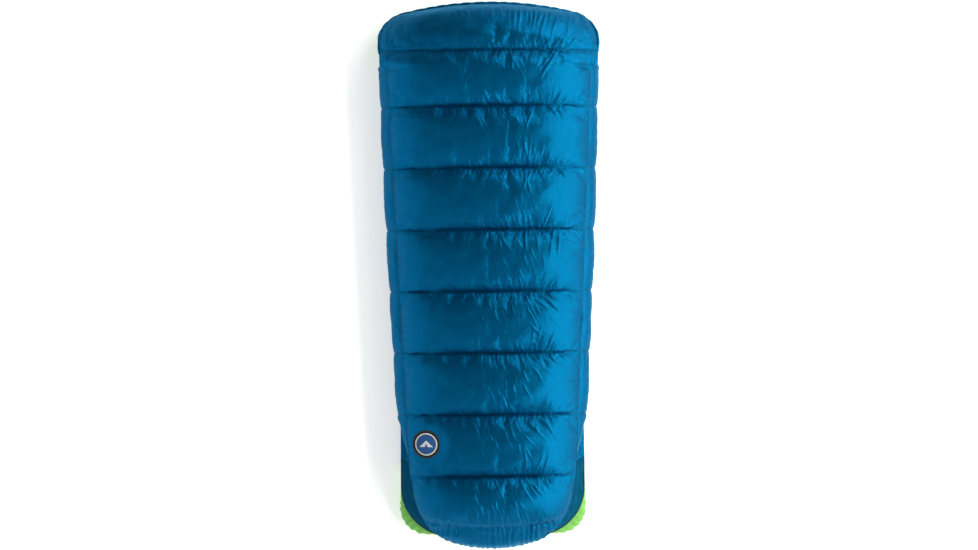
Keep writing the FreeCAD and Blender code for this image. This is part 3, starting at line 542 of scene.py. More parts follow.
def eased(shift, keep, reach):
    """Keeps the broad part of a field of moves, and a share of what varies between columns."""
    padded = np.pad(shift, ((0, 0), (reach, reach), (0, 0)), mode="edge")
    count, width = shift.shape[1], 2 * reach + 1
    broad = sum(padded[:, start:start + count] for start in range(width)) / width
    return broad + (shift - broad) * keep


def refine(grid):
    """Doubles a grid's resolution with a smooth four-point rule."""
    for axis in (0, 1):
        grid = np.moveaxis(grid, axis, 0)
        padded = np.concatenate([2 * grid[:1] - grid[1:2], grid, 2 * grid[-1:] - grid[-2:-1]])
        out = np.empty((2 * len(grid) - 1,) + grid.shape[1:])
        out[0::2] = grid
        out[1::2] = (9 * (padded[1:-2] + padded[2:-1]) - padded[:-3] - padded[3:]) / 16
        grid = np.moveaxis(out, 0, axis)
    return grid


def fine_rows(rows):
    """The rows of a grid after refine."""
    return np.interp(np.arange(2 * len(rows) - 1) / 2, np.arange(len(rows)), rows)


def sheet(name, grid, thickness, flip=False, values=None):
    """A closed sheet of fabric: the grid is its outer face, and it is thickness deep."""
    inner = grid - (-1.0 if flip else 1.0) * normals_of(grid) * thickness
    points = np.concatenate([grid.reshape(-1, 3), inner.reshape(-1, 3)])
    obj = make_mesh(name, points, [closed_faces(*grid.shape[:2], flip)])
    for key, field in (values or {}).items():
        point_values(obj, key, np.tile(np.ravel(field), 2))
    return obj


def seam_fields(rows, columns, seams):
    """Distance to the nearest seam and the weight of the painted shade in the fold beside it, per point."""
    distance = np.min([abs(rows - seam) for seam in seams], axis=0)
    distance = np.repeat(distance[:, None], columns, 1)
    # The second field weights the painted shade beside each seam.
    return {"seam_mm": distance, "painted_shade": np.exp(-(distance / 3.2) ** 2)}


def tube(name, path, radius, sides=12, squeeze=1.0):
    """A closed round bar along a path; radius is one number or one per path point and side."""
    along = np.gradient(path, axis=0)
    along /= np.linalg.norm(along, axis=1, keepdims=True)
    side = np.cross(along, [0, 0, 1.0])
    side /= np.maximum(np.linalg.norm(side, axis=1, keepdims=True), 1e-9)
    lift = np.cross(side, along)
    angle = np.linspace(0, TURN, sides, endpoint=False)[None, :, None]
    ring = side[:, None] * np.cos(angle) + lift[:, None] * (np.sin(angle) * squeeze)
    points = path[:, None] + ring * np.broadcast_to(radius, (len(path), sides))[..., None]
    index = grid_index(len(path), sides)
    return make_mesh(name, points, [quads_of(wrapped(index)), index[:1, :], index[-1:, ::-1]])


def soft_noise(x, y, wavelength, seed):
    """Smooth random field between about -1 and 1."""
    waves = 9
    draw = np.random.default_rng(seed)
    field = np.zeros(np.broadcast(x, y).shape)
    for _ in range(waves):
        turn = draw.uniform(0, TURN)
        pitch = TURN / (wavelength * draw.uniform(0.7, 1.5))
        across = x * math.cos(turn) + y * math.sin(turn)
        field = field + np.cos(across * pitch + draw.uniform(0, 6.3))
    return field / math.sqrt(waves / 2) / 2


def noise_along(place, wavelength, seed):
    return soft_noise(place, 0 * place, wavelength, seed)


def row_list(bounds, step):
    rows = []
    for upper, lower in zip(bounds, bounds[1:]):
        count = max(4, round((upper - lower) / step))
        rows += list(np.linspace(upper, lower, count, endpoint=False))
    return np.array(rows + [bounds[-1]])


def pin_map(rows, columns, pinned_rows):
    """Which points of a grid are sewn down: the wanted rows and the whole rim."""
    pinned = np.zeros((len(rows), columns), bool)
    pinned[[int(np.argmin(abs(rows - row))) for row in pinned_rows]] = True
    pinned[0] = pinned[-1] = True
    pinned[:, 0] = pinned[:, -1] = True
    return pinned


# ----------------------------------------------------- cloth and its wrinkles

CLOTH_SETTINGS = {"quality": 5, "mass": 0.1, "tension_stiffness": 12.0, "compression_stiffness": 12.0,
                  "shear_stiffness": 5.0, "air_damping": 1.0, "use_pressure": True,
                  "vertex_group_mass": "pinned"}
START_NOISE = 0.3


def simulate(points, pinned, flip=False, pressure=4.0, slack=0.05, cap=10.0, frames=16, bend=0.6):
    """Cloth simulation of a grid of points; pinned points stay where they are."""
    rows, columns = points.shape[:2]
    start = points + normals_of(points) * rng.normal(0, START_NOISE, (rows, columns, 1)) \
        * ~pinned[..., None]
    obj = make_mesh("cloth_work", start, [quads_of(grid_index(rows, columns), flip)])
    group = obj.vertex_groups.new(name="pinned")
    group.add(np.flatnonzero(pinned.reshape(-1)).tolist(), 1.0, "REPLACE")
    cloth_modifier = obj.modifiers.new("cloth", "CLOTH")
    settings = cloth_modifier.settings
    for key, value in CLOTH_SETTINGS.items():
        setattr(settings, key, value)
    settings.bending_stiffness = bend
    settings.uniform_pressure_force = pressure
    settings.effector_weights.gravity = 0.0
    settings.shrink_min = -slack
    cloth_modifier.point_cache.frame_start = 1
    cloth_modifier.point_cache.frame_end = frames
    for step in range(1, frames + 1):
        bpy.context.scene.frame_set(step)
    shape = obj.evaluated_get(bpy.context.evaluated_depsgraph_get()).data
    moved = np.empty(len(shape.vertices) * 3)
    shape.vertices.foreach_get("co", moved)
    moved = moved.reshape(points.shape) / MM
    bpy.data.objects.remove(obj)
    bpy.context.scene.frame_set(1)
    shift = moved - points
    length = np.linalg.norm(shift, axis=-1, keepdims=True)
    return points + shift * cap * np.tanh(length / cap) / np.maximum(length, 1e-9)


def add_creases(grid, folds):
    """Long soft folds (x, y, angle, length, width, depth) that run on in plan, slightly bent."""
    normal = normals_of(grid)
    height = np.zeros(grid.shape[:2])
    x, y = grid[..., 0], grid[..., 1]
    for x0, y0, angle, length, width, depth in folds:
        near = (abs(x - x0) < length + 12) & (abs(y - y0) < length + 12)
        dx, dy = x[near] - x0, y[near] - y0
        share = (dx * math.cos(angle) + dy * math.sin(angle)) / length
        aside = -dx * math.sin(angle) + dy * math.cos(angle)
        aside = aside - 0.10 * length * share ** 2
        taper = smooth(share / 0.3) * smooth((1 - share) / 0.55)
        height[near] += depth * taper * np.exp(-(aside / width) ** 2)
    return grid + normal * height[..., None]


# -------------------------------------------------------------- top and hem
TOP_STEP = 6.0
HEAD_REACH = 5.0        # the top goes on over the hem's tube
HEAD_ROLL = 30.0        # and comes down to it over this length
SHOULDER = 5            # how squarely the chambers end at the side seams
FOOT_NARROW = 0.03
HEM_RIDGE = 9.0
PATCH_FLATNESS = 0.85


def top_plan(row, across):
    to_head = smooth((row - NECK) / (HEAD_EDGE - NECK))
    x, y = plan(row, across, SEAM_REACH - HEAD_REACH * 0.6 * to_head ** 2)
    return x * (1 - FOOT_NARROW * smooth((SIDE_FOOT - row) / 80)), y + HEAD_REACH * to_head ** 4


def seam_wobble(x, row):
    """Sewn seams aren't quite straight."""
    wobble = np.zeros(np.broadcast(x, row).shape)
    for number, seam in enumerate(SEAMS):
        near = np.exp(-((row - seam) / 30) ** 2)
        wobble = wobble + near * soft_noise(x, 0 * row, 60, 100 + number) * 1.6
    return wobble


def top_start(rows, columns):
    row, across = np.meshgrid(rows, columns, indexing="ij")
    x, y = top_plan(row, across)
    loft = np.where(row < FOOT_HEM, HEM_LOFT, LOFT)
    outer = smooth((abs(across) - 0.4) / 0.4) * (row < NECK + 60)
    shallow = 0.76 - np.where(across > 0, 0.46, 0.3) * outer
    in_head, in_foot = row > (HEAD_EDGE + NECK) / 2, row < (SEAMS[-1] + FOOT_HEM) / 2
    power = np.where(in_head, 0.36, np.where(in_foot, 0.85, 0.5))
    puff = 1 - shallow * (1 - swell(chamber_share(row), power))
    puff = puff - (1 - shallow) * (1 - smooth((HEAD_EDGE - row) / HEAD_ROLL))
    z = valley(row, across) + loft * puff * (1 - abs(across) ** SHOULDER)
    z = z + HEM_RIDGE * np.exp(-((row - FOOT_HEM) / 15) ** 2) * (1 - across ** 4)
    return np.stack([x, y + seam_wobble(x, row), z + 0.9 * (abs(across) > 0.999)], -1)


def lean(x, seam, way):
    """How far a long fold slants to the right of straight up, in radians."""
    right = float(smooth((x - 40) / 190))
    upper = float(smooth((seam + 100) / 420))
    fan = mix(-0.75, 0.8, upper) if way < 0 else 0.65
    return mix(-0.3, fan, right)


CHAMBER_FOLDS, RIGHT_FOLDS = 26, 70
CORNER_FOLDS = ((0, 0.75, 52), (16, 0.5, 40), (-30, 0.95, 46), (-62, 0.2, 60))


def seam_folds():
    """Folds that start at the seams, in clusters, fewer on the left."""
    folds = []
    for seam in SEAMS + [FOOT_HEM]:
        reach = float(half_width(seam)) - 10
        for x in np.arange(-reach, reach, 8.0):
            for way in (1, -1):
                draw = rng.random(6)
                x0 = x + 8 * (draw[0] - 0.5)
                cluster = float(soft_noise(x0, seam + way * 60, 150, 12))
                strength = (0.12 + 0.88 * float(smooth((x0 + 190) / 330))) * (0.55 + 0.6 * cluster)
                if draw[1] > 0.1 + 0.75 * strength:
                    continue
                sag = FOOT_SAG * (1 - (x0 / reach) ** 2) * (seam == FOOT_HEM)
                tilt = lean(x0, seam, way) + rng.normal(0, 0.2)
                length = (26 + 110 * draw[2] ** 1.5) * (0.35 + 0.65 * max(strength, 0))
                depth = (0.7 + 2.0 * draw[4]) * max(strength, 0.1) * (1 if draw[5] < 0.75 else -0.7)
                folds.append((x0, seam - sag + way * 2, way * QUARTER - tilt, length,
                              2.2 + 2.2 * draw[3], depth))
    return folds


def chamber_folds():
    """Folds in the middle of the chambers; those near the foot are deeper."""
    folds = []
    for upper, lower in zip(SEAMS, SEAMS[1:] + [FOOT_HEM]):
        down = float(smooth((300 - upper) / 500))
        for _ in range(CHAMBER_FOLDS):
            x0 = rng.normal(mix(60, 25, down), 85)
            y0 = mix(upper, lower, rng.uniform(0.12, 0.62))
            turn = 0.28 + 0.5 * float(smooth((x0 - 60) / 180)) * (2 * down - 1)
            folds.append((x0, y0, turn - QUARTER + rng.normal(0, 0.12), rng.uniform(26, 90),
                          rng.uniform(2.0, 4.2), rng.uniform(0.4, 1.7) * (0.35 + 0.65 * down)))
    return folds


def right_folds():
    """Long slanted folds right of the middle, where the quilt was pulled straight."""
    folds = []
    for _ in range(RIGHT_FOLDS):
        seam = SEAMS[rng.integers(1, len(SEAMS))]
        way = rng.choice((1, -1))
        x0 = side_seam(seam) * rng.uniform(0.3, 0.97)
        tilt = lean(x0, seam, way) * rng.uniform(0.9, 1.5) + rng.normal(0, 0.12)
        folds.append((x0, seam + way * 2, way * QUARTER - tilt, rng.uniform(45, 125),
                      rng.uniform(2.0, 4.0), rng.uniform(0.8, 2.1)))
    return folds


def hem_folds():
    """Gathers that run in from the head hem and up through the foot hem."""
    folds = []
    for x in np.arange(-HEAD_HALF * 0.9, HEAD_HALF * 0.9, 10.0):
        x0 = x + rng.uniform(-4, 4)
        share = x0 / HEAD_HALF
        strength = 0.3 + 0.7 * float(smooth((x0 + 40) / 220))
        folds.append((x0, HEAD_EDGE + HEAD_SAG * (1 - share ** 2) - 1,
                      -QUARTER - share * 0.6 + rng.normal(0, 0.15),
                      rng.uniform(35, 130) * (0.35 + 0.65 * strength),
                      rng.uniform(2.6, 4.4), rng.uniform(1.0, 3.2) * strength))
    for x in np.arange(-165, 166, 22.0):
        folds.append((x + rng.uniform(-9, 9), FOOT_HEM - FOOT_SAG + rng.uniform(30, 95),
                      -QUARTER + x / 600 + rng.normal(0, 0.08),
                      rng.uniform(60, 120), rng.uniform(3.2, 5.5), -rng.uniform(1.2, 3.0)))
    for way in (-1, 1):
        for shift, turn, length in CORNER_FOLDS:
            folds.append((way * (FOOT_HALF * 0.68 + shift), FOOT_HEM + 6 + 0.2 * shift,
                          -QUARTER - way * turn, length, 4.6, -3.6))
    return folds


def neck_folds():
    """The deeper folds beside the neck, where the head chamber turns down to the side seams."""
    seam = side_seam(NECK)
    return [(seam - 95, NECK - 50, -0.22, 100, 5, -5.0), (seam - 60, NECK - 80, 0.12, 66, 4, 3.5),
            (20 - seam, NECK - 48, math.pi + 0.35, 40, 4, -4),
            (seam - 20, NECK + 14, math.pi - 0.4, 60, 4, 3),
            (18 - seam, NECK + 20, 0.3, 55, 4, 3), (seam - 150, NECK - 2, -0.16, 130, 4, -2.5)]


TOP_ROWS = row_list(BOUNDS, TOP_STEP)
TOP_COLUMNS = np.linspace(-1, 1, 2 * round(HEAD_HALF / TOP_STEP) + 1)


def near_patch(grid, margin, fade):
    distance = np.hypot(grid[..., 0] - PATCH_X, grid[..., 1] - PATCH_Y)
    return smooth((PATCH_RADIUS + margin - distance) / fade)[..., None]


def make_top_grid():
    start = top_start(TOP_ROWS, TOP_COLUMNS)
    pinned = pin_map(TOP_ROWS, len(TOP_COLUMNS), BOUNDS)
    grid = simulate(start, pinned, pressure=4.0, slack=0.04, cap=9.0, frames=18, bend=1.0)
    calm = mix(0.3, 0.5, smooth((TOP_COLUMNS + 0.5) / 0.9))[None, :, None]
    grid = start + eased(grid - start, calm, 3)
    reach = abs(start[:, -1:, 0])
    grid[..., 0] = np.clip(grid[..., 0], -reach, reach)
    x, y = grid[..., 0], grid[..., 1]
    grid = grid + (start - grid) * (PATCH_FLATNESS * near_patch(grid, 34, 40))
    grid[..., 2] += soft_noise(x, y, 90, 5) * 1.5 \
        * swell(chamber_share(TOP_ROWS), 1)[:, None] * (1 - TOP_COLUMNS ** 4)[None]
    grid = refine(grid)
    edge = swell(np.linspace(0, 1, grid.shape[1]), 0.25)[None, :, None]
    folds = seam_folds() + chamber_folds() + right_folds() + hem_folds()
    folded = add_creases(add_creases(grid, folds), neck_folds())
    return grid + (folded - grid) * edge * (1 - near_patch(grid, 8, 14))


top_grid = make_top_grid()
FINE_ROWS = fine_rows(TOP_ROWS)
HEM_ROW = int(np.argmin(abs(FINE_ROWS - FOOT_HEM)))


def make_top():
    grid = top_grid[:HEM_ROW + 1]
    fields = seam_fields(FINE_ROWS[:HEM_ROW + 1], grid.shape[1], SEAMS)
    fit(sheet("quilt_top", grid, 0.8, values=fields), "root", "shell_nylon", "top_shell")


def foot_dip(share, x):
    """The middle of the foot hem rolls down towards the pad pocket."""
    return 8 * smooth((share - 0.72) / 0.28) * (1 - smooth((abs(x) - 90) / 60))


BAND_DEPTH = 54


def make_foot_band():
    """The gathered band below the last chamber, with upright pleats, deepest at its hem."""
    grid = refine(top_grid[HEM_ROW:])
    share = np.linspace(0, 1, grid.shape[0])[:, None]
    x = grid[..., 0]
    phase = x / 19.0 * TURN + 2.6 * soft_noise(x, grid[..., 1] * 0.4, 80, 31)
    depth = 1.1 * (1 + 0.6 * noise_along(x, 45, 32)) \
        * np.sin(math.pi * np.clip(share * 0.8 + 0.12, 0, 1)) ** 0.6
    grid = grid + normals_of(grid) * (depth * np.cos(phase))[..., None]
    grid[..., 2] -= foot_dip(share, x)
    grid[..., 1] -= 0.8 * np.cos(phase) * smooth((share - 0.6) / 0.4)
    grid[0] = refine(top_grid[HEM_ROW:HEM_ROW + 2])[0]
    distance = np.repeat(share * BAND_DEPTH, grid.shape[1], 1)
    # Painted shade along the band's sewn upper edge, weaker than beside the chamber seams.
    fields = {"seam_mm": distance, "painted_shade": 0.3 * np.exp(-(distance / 4.5) ** 2)}
    fit(sheet("foot_band", grid, 0.9, values=fields), "root", "shell_nylon", "foot_hem")
    return grid


# ------------------------------------------------------------- side panels
SIDE_STEP = 6.0
LEDGE_START, LEDGE_TURN = SEAMS[-2] - 8, 55.0      # the round side becomes a roll with a ledge
ROLL_SHARE, LEDGE_SHARE = 0.42, 0.74
LEDGE_Z = 51.0
HEAD_BULGE, MIDDLE_BULGE = 27.0, 7.0       # how far the side stands out beyond its seam
GUSSET_REACH = 372.5                       # half width of the fullest part of the head gusset
POCKET_HALF = PANEL_HIGH[0]
SIDE_SEAMS = [seam for seam in SEAMS if WING_FOOT < seam < WING_HEAD]
SIDE_BOUNDS = [WING_HEAD] + SIDE_SEAMS + [WING_FOOT]


def side_bulge(row):
    share = (NECK - row) / (NECK - SIDE_FOOT)
    ends = mix(HEAD_BULGE, POCKET_HALF - FOOT_HALF + 3, share)
    return ends + MIDDLE_BULGE * np.sin(math.pi * np.clip(share, 0, 1))


def side_profile(row, share):
    """Distance beyond the side seam, and height, of the side panel's outer face."""
    pinch = 0.78 + 0.22 * swell(chamber_share(row), 0.6)
    out_round = side_bulge(row) * swell(share, 0.72) * pinch
    z_round = mix(SEAM_Z, GROUND_SEAM_Z + 0.4, share)
    roll = mix(15.0, -2.0, smooth((SIDE_FOOT + 120 - row) / 110))
    up = np.clip(share / ROLL_SHARE, 0, 1)
    flat = np.clip((share - ROLL_SHARE) / (LEDGE_SHARE - ROLL_SHARE), 0, 1)
    down = np.clip((share - LEDGE_SHARE) / (1 - LEDGE_SHARE), 0, 1)
    reach = POCKET_HALF - side_seam(row)
    out_ledge = roll * swell(up, 0.8) * (share < ROLL_SHARE) + 3 * up + (reach - 3) * flat
    out_ledge = np.where(share > LEDGE_SHARE, reach * np.sqrt(np.clip(1 - down ** 2, 0, 1)), out_ledge)
    z_ledge = np.where(share < ROLL_SHARE, mix(SEAM_Z, LEDGE_Z + 2, up ** 1.15),
                       np.where(share < LEDGE_SHARE, mix(LEDGE_Z + 2, LEDGE_Z - 2, flat),
                                mix(LEDGE_Z - 2, GROUND_SEAM_Z + 0.4, down)))
    turn = smooth((LEDGE_START - row) / LEDGE_TURN)
    return mix(out_round, out_ledge, turn), mix(z_round, z_ledge, turn), turn


def side_folds(grid, side):
    """Short folds that cross the side panel beside its seams."""
    y = grid[..., 1]
    share = np.linspace(0, 1, grid.shape[1])[None]
    height = np.zeros(grid.shape[:2])
    for seam in SIDE_SEAMS:
        for _ in range(9):
            away = rng.choice((-1, 1)) * rng.uniform(5, 40)
            slant = rng.normal(0, 26)
            ridge = np.exp(-((y - seam - away - slant * (share - 0.4)) / rng.uniform(3, 5)) ** 2)
            height += ridge * rng.uniform(-0.5, 0.8) * swell(share, 0.7) \
                * np.exp(-(abs(away) / 35))
    height *= swell(share, 0.4)
    return grid + normals_of(grid) * side * height[..., None]


def side_grid(side):
    rows = row_list(SIDE_BOUNDS, SIDE_STEP)
    shares = (1 - np.cos(np.linspace(0, math.pi, 29))) / 2 * 0.5 + np.linspace(0, 1, 29) * 0.5
    row, share = np.meshgrid(rows, shares, indexing="ij")
    out, z, turn = side_profile(row, share)
    close = smooth((row - WING_FOOT) / 16)
    out = out * mix(0.25, 1, np.where(share > ROLL_SHARE, close, 1))
    start = np.stack([side_seam(row) + 0.9 + out, row, z], -1)
    start[..., 0] *= side
    pinned = pin_map(rows, len(shares), SIDE_BOUNDS)
    grid = simulate(start, pinned, flip=side < 0, pressure=3.0, slack=0.028, cap=6.0, frames=14,
                    bend=1.0)
    steady = np.swapaxes(eased(np.swapaxes(grid - start, 0, 1), 0.3, 6), 0, 1)
    grid = start + steady * (1 - 0.75 * turn)[..., None]
    grid[..., 2] = np.minimum(grid[..., 2], SEAM_Z)
    return fine_rows(rows), side_folds(refine(grid), side)


def make_side(name, side):
    """The side panel, its lining and the down between them."""
    body = name + "_side"
    rows, grid = side_grid(side)
    fields = seam_fields(rows, grid.shape[1], SIDE_SEAMS)
    panel = sheet("side_panel_" + name, grid, 0.8, flip=side < 0, values=fields)
    fit(panel, body, "shell_nylon", "side_shell_" + name)

    columns = 15
    inner_rows = row_list(SIDE_BOUNDS, 10.0)
    row, share = np.meshgrid(inner_rows, np.linspace(0, 1, columns), indexing="ij")
    pinch = 0.25 + 0.75 * swell(chamber_share(row), 0.6)
    x = side * (side_seam(row) - 0.6 - 7.5 * swell(share, 0.8) * pinch)
    start = np.stack([x, row, mix(SEAM_Z - 1.4, GROUND_SEAM_Z + 1.4, share)], -1)
    pinned = pin_map(inner_rows, columns, SIDE_BOUNDS)
    inner = refine(simulate(start, pinned, flip=side > 0, pressure=2.0, slack=0.05, cap=4.0,
                            frames=10))
    inner_rows = fine_rows(inner_rows)
    lining = sheet("side_inner_" + name, inner, 0.8, flip=side > 0,
                   values=seam_fields(inner_rows, inner.shape[1], SIDE_SEAMS))
    fit(lining, body, "lining_nylon", "side_lining_" + name)
    make_head_gusset(name, side)
    make_foot_gusset(name, side)
    flank_fill("side_down_" + name, ((rows, grid), (inner_rows, inner)), (0.13, 0.87), side < 0,
               LEDGE_START, body, "side_fill_" + name)


def stretch_between(gusset, root_row):
    """Bakes the gusset's placement into its mesh and gives it the shell nylon."""
    root_row * MM
    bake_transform(gusset)
    dress(gusset, "shell_nylon")


def make_head_gusset(name, side):
    """Closes the side panel towards the hem; its lower edge climbs to the hem's end."""
    hem_row = NECK - 5
    keep = (FINE_ROWS >= WING_HEAD - 5) & (FINE_ROWS <= hem_row + 1.5)
    upper = top_grid[keep, -1 if side > 0 else 0]
    rows = FINE_ROWS[keep]
    upper[:, 0] += side * 0.4
    upper[:, 2] -= 0.6 * (rows < WING_HEAD)
    climb = np.clip((rows - WING_HEAD) / (hem_row - WING_HEAD), 0, 1)
    lower = np.stack([side * mix(side_seam(rows) + 0.7, HEAD_HALF - 1, climb ** 0.8), rows,
                      mix(GROUND_SEAM_Z + 1.2, edge_height(rows) - 12, climb ** 1.1)], -1)
    count = 30
    share = np.linspace(0, 1, count)[None]
    widest = np.maximum(GUSSET_REACH - abs(upper[:, 0]), 3.0) * (1 - 0.5 * climb ** 3)
    grid = upper[:, None] + (lower - upper)[:, None] * share[..., None]
    grid[..., 0] += side * widest[:, None] * swell(share, 0.72)
    ripple = soft_noise(grid[..., 1], grid[..., 2] * 0.5, 26, 61 + side) * 1.6 * swell(share, 0.6)
    grid[..., 0] += side * ripple
    gusset = sheet("head_gusset_" + name, grid, 0.8, flip=side < 0,
                   values=seam_fields(rows, count, [NECK]))
    stretch_between(gusset, hem_row - 2)


FOOT_GUSSET_END = SEAMS[-1] - 22
WALL_TUCK, WALL_BULGE = 5, 3.2


def make_foot_wall(band):
    """The upright side of the foot chamber, down to the pad pocket's panel."""
    keep = np.flatnonzero(FINE_ROWS[:HEM_ROW] <= FOOT_GUSSET_END + 0.5)
    right, left = top_grid[keep, -1], top_grid[keep, 0][::-1]
    path = np.concatenate([right, band[:-1:2, -1], band[-1, ::-2], band[:-1:2, 0][::-1], left])
    outward = -plan_outward(path)
    way = np.sign(np.sum(outward[:, :2] * path[:, :2], axis=1, keepdims=True))
    outward = outward * np.where(way == 0, 1, way)
    for _ in range(6):
        outward = (np.roll(outward, 1, 0) + outward * 2 + np.roll(outward, -1, 0)) / 4
    lower = path - outward * WALL_TUCK
    lower[:, 2] = LEDGE_Z - 0.4
    bulge = WALL_BULGE + 1.4 * noise_along(run_length(path), 34, 71)
    share = np.linspace(0, 1, 12)[None, :, None]
    grid = path[:, None] + (lower - path)[:, None] * share
    grid = grid + outward[:, None] * (bulge.reshape(-1, 1, 1) * swell(share, 0.75))
    fit(sheet("foot_wall", grid, 0.8), "root", "shell_nylon")


def make_foot_gusset(name, side):
    """Joins the side panel's roll to the foot wall."""
    keep = (FINE_ROWS <= WING_FOOT + 1.5) & (FINE_ROWS >= FOOT_GUSSET_END - 3.5)
    upper, rows = top_grid[keep, -1 if side > 0 else 0], FINE_ROWS[keep]
    share = np.linspace(0, 1, 14)[None]
    out, z, _ = side_profile(rows[:, None], share * ROLL_SHARE)
    settle = smooth((WING_FOOT - rows) / 50)[:, None]
    x_side = side_seam(rows)[:, None] + 0.7 + out
    x_wall = abs(upper[:, 0])[:, None] - WALL_TUCK * share + WALL_BULGE * swell(share, 0.75)
    z_wall = mix(upper[:, 2:3], LEDGE_Z - 0.4, share)
    x = side * mix(x_side, x_wall, settle)
    grid = np.stack([x, np.repeat(upper[:, 1:2], 14, 1), mix(z, z_wall, settle)], -1)
    gusset = sheet("foot_gusset_" + name, grid, 0.8, flip=side < 0,
                   values=seam_fields(rows, 14, SEAMS))
    stretch_between(gusset, FOOT_GUSSET_END + 4)


# ------------------------------------------------------------------- lining
LINING_STEP = 11.0
FOOT_TURN = 6.0         # the lining ends inside the foot hem


def lining_height(row, across):
    """The lining's lower face; it rises to the edges and to the head hem."""
    depth = mix(BAFFLE, 3.0, abs(across) ** 8) + 1
    hang = (HANG + 2) * swell(chamber_share(row), 0.6) * (1 - across ** 4)
    close = smooth((HEAD_EDGE - row) / 46) * smooth((row - FOOT_EDGE) / 40)
    hem = 5.0 + 3.5 * smooth((FOOT_HEM - row) / 30)
    return valley(row, across) - mix(hem, depth, close) - hang


def make_lining():
    rows = row_list(BOUNDS, LINING_STEP)
    columns = np.linspace(-1, 1, 63)
    row, across = np.meshgrid(rows, columns, indexing="ij")
    x, y = top_plan(row, across)
    in_hem = (FOOT_HEM - row) / (FOOT_HEM - FOOT_EDGE)
    y = y + FOOT_TURN * smooth(in_hem)
    start = np.stack([x * 0.9985, y, lining_height(row, across) - foot_dip(in_hem, x)], -1)
    pinned = pin_map(rows, len(columns), BOUNDS)
    grid = refine(simulate(start, pinned, flip=True, pressure=2.5, slack=0.06, cap=7.0, frames=14))
    fine = fine_rows(rows)
    lining = sheet("quilt_lining", grid, 0.8, flip=True,
                   values=seam_fields(fine, grid.shape[1], SEAMS))
    fit(lining, "root", "lining_nylon", "top_lining")
    return fine, grid


# ---------------------------------------------------------------- down fills
DOWN_ROWS, DOWN_INSET, SHORTEST_CHAMBER = 13, 9, 60


def sampled(layer, wanted, span, count):
    """A layer's grid at the wanted rows, and at count columns between two shares."""
    rows, grid = layer
    position = np.interp(-wanted, -rows, np.arange(len(rows)))
    base = np.clip(position.astype(int), 0, len(rows) - 2)
    share = (position - base)[:, None, None]
    grid = grid[base] * (1 - share) + grid[base + 1] * share
    position = np.linspace(span[0], span[1], count) * (grid.shape[1] - 1)
    base = np.clip(position.astype(int), 0, grid.shape[1] - 2)
    share = (position - base)[None, :, None]
    return grid[:, base] * (1 - share) + grid[:, base + 1] * share


def down_body(layers, upper, lower, span, count, turned):
    """The lumpy filling of one chamber, between its outer and its inner layer."""
    wanted = np.linspace(upper - DOWN_INSET, lower + DOWN_INSET, DOWN_ROWS)
    above, below = [sampled(layer, wanted, span, count) for layer in layers]
    toward = below - above
    distance = np.maximum(np.linalg.norm(toward, axis=-1, keepdims=True), 1e-6)
    lumps = 1 + 0.12 * soft_noise(above[..., 0], above[..., 1] + above[..., 2], 22, 41)[..., None]
    step = toward / distance * lumps
    above = above + step * np.minimum(8.0, distance * 0.45)
    below = below - step * np.minimum(3.6, distance * 0.3)
    points = np.concatenate([above.reshape(-1, 3), below.reshape(-1, 3)])
    return points, closed_faces(DOWN_ROWS, count, turned)


def fill_up(name, parts, body, node_name):
    """One mesh from the fillings of several chambers."""
    starts = np.cumsum([0] + [len(points) for points, _ in parts])
    faces = [part[1] + start for part, start in zip(parts, starts)]
    fill = make_mesh(name, np.concatenate([points for points, _ in parts]), [np.concatenate(faces)])
    fit(fill, body, "down", node_name)


def make_fills(layers):
    for number, (upper, lower) in enumerate(zip(BOUNDS, BOUNDS[1:-1]), start=1):
        part = down_body(layers, upper, lower, (0.045, 0.955), 60, False)
        fill_up("down_%d" % number, [part], "root", "down_fill_%d" % number)


def flank_fill(name, layers, span, turned, last, body, node_name):
    parts = [down_body(layers, upper, lower, span, 18, turned)
             for upper, lower in zip(SIDE_BOUNDS, SIDE_BOUNDS[1:])
             if upper - lower > SHORTEST_CHAMBER and lower > last]
    fill_up(name, parts, body, node_name)


# -------------------------------------------------------------------- wings
BINDING_WIDTH = 8.0
WING_REACH = 300.0, 215.0       # how far a wing folds under, at the head end and at the foot end


def wing_edge(row):
    """Distance of the wing's free edge from the centre line."""
    low, high = [corner[0] for corner in box_mm("wing_binding_right")]
    head = min(float(side_seam(WING_HEAD)) - WING_REACH[0], high)
    foot = max(float(side_seam(WING_FOOT)) - WING_REACH[1], low)
    return mix(head, foot, (WING_HEAD - row) / (WING_HEAD - WING_FOOT))


def near_end(row, reach):
    return smooth(np.minimum(WING_HEAD - row, row - WING_FOOT) / reach)


def wing_top_z(row, share):
    base = mix(14.5, 6.0, share)
    crown = 15 * swell(share, 0.6) * (0.4 + 0.6 * swell(chamber_share(row), 0.6))
    return mix(base * 0.6, base + crown, near_end(row, 34))


def wing_low_z(row, share):
    distance = np.min([abs(row - bound) for bound in BOUNDS], axis=0)
    seam = 2.6 * np.exp(-(distance / 8) ** 2) * swell(share, 0.4)
    low = 0.5 + seam + 12.5 * (1 - smooth(share / 0.15)) + 3.6 * smooth((share - 0.9) / 0.1)
    return mix(np.maximum(wing_top_z(row, share) - 1.5, low), low, near_end(row, 14))


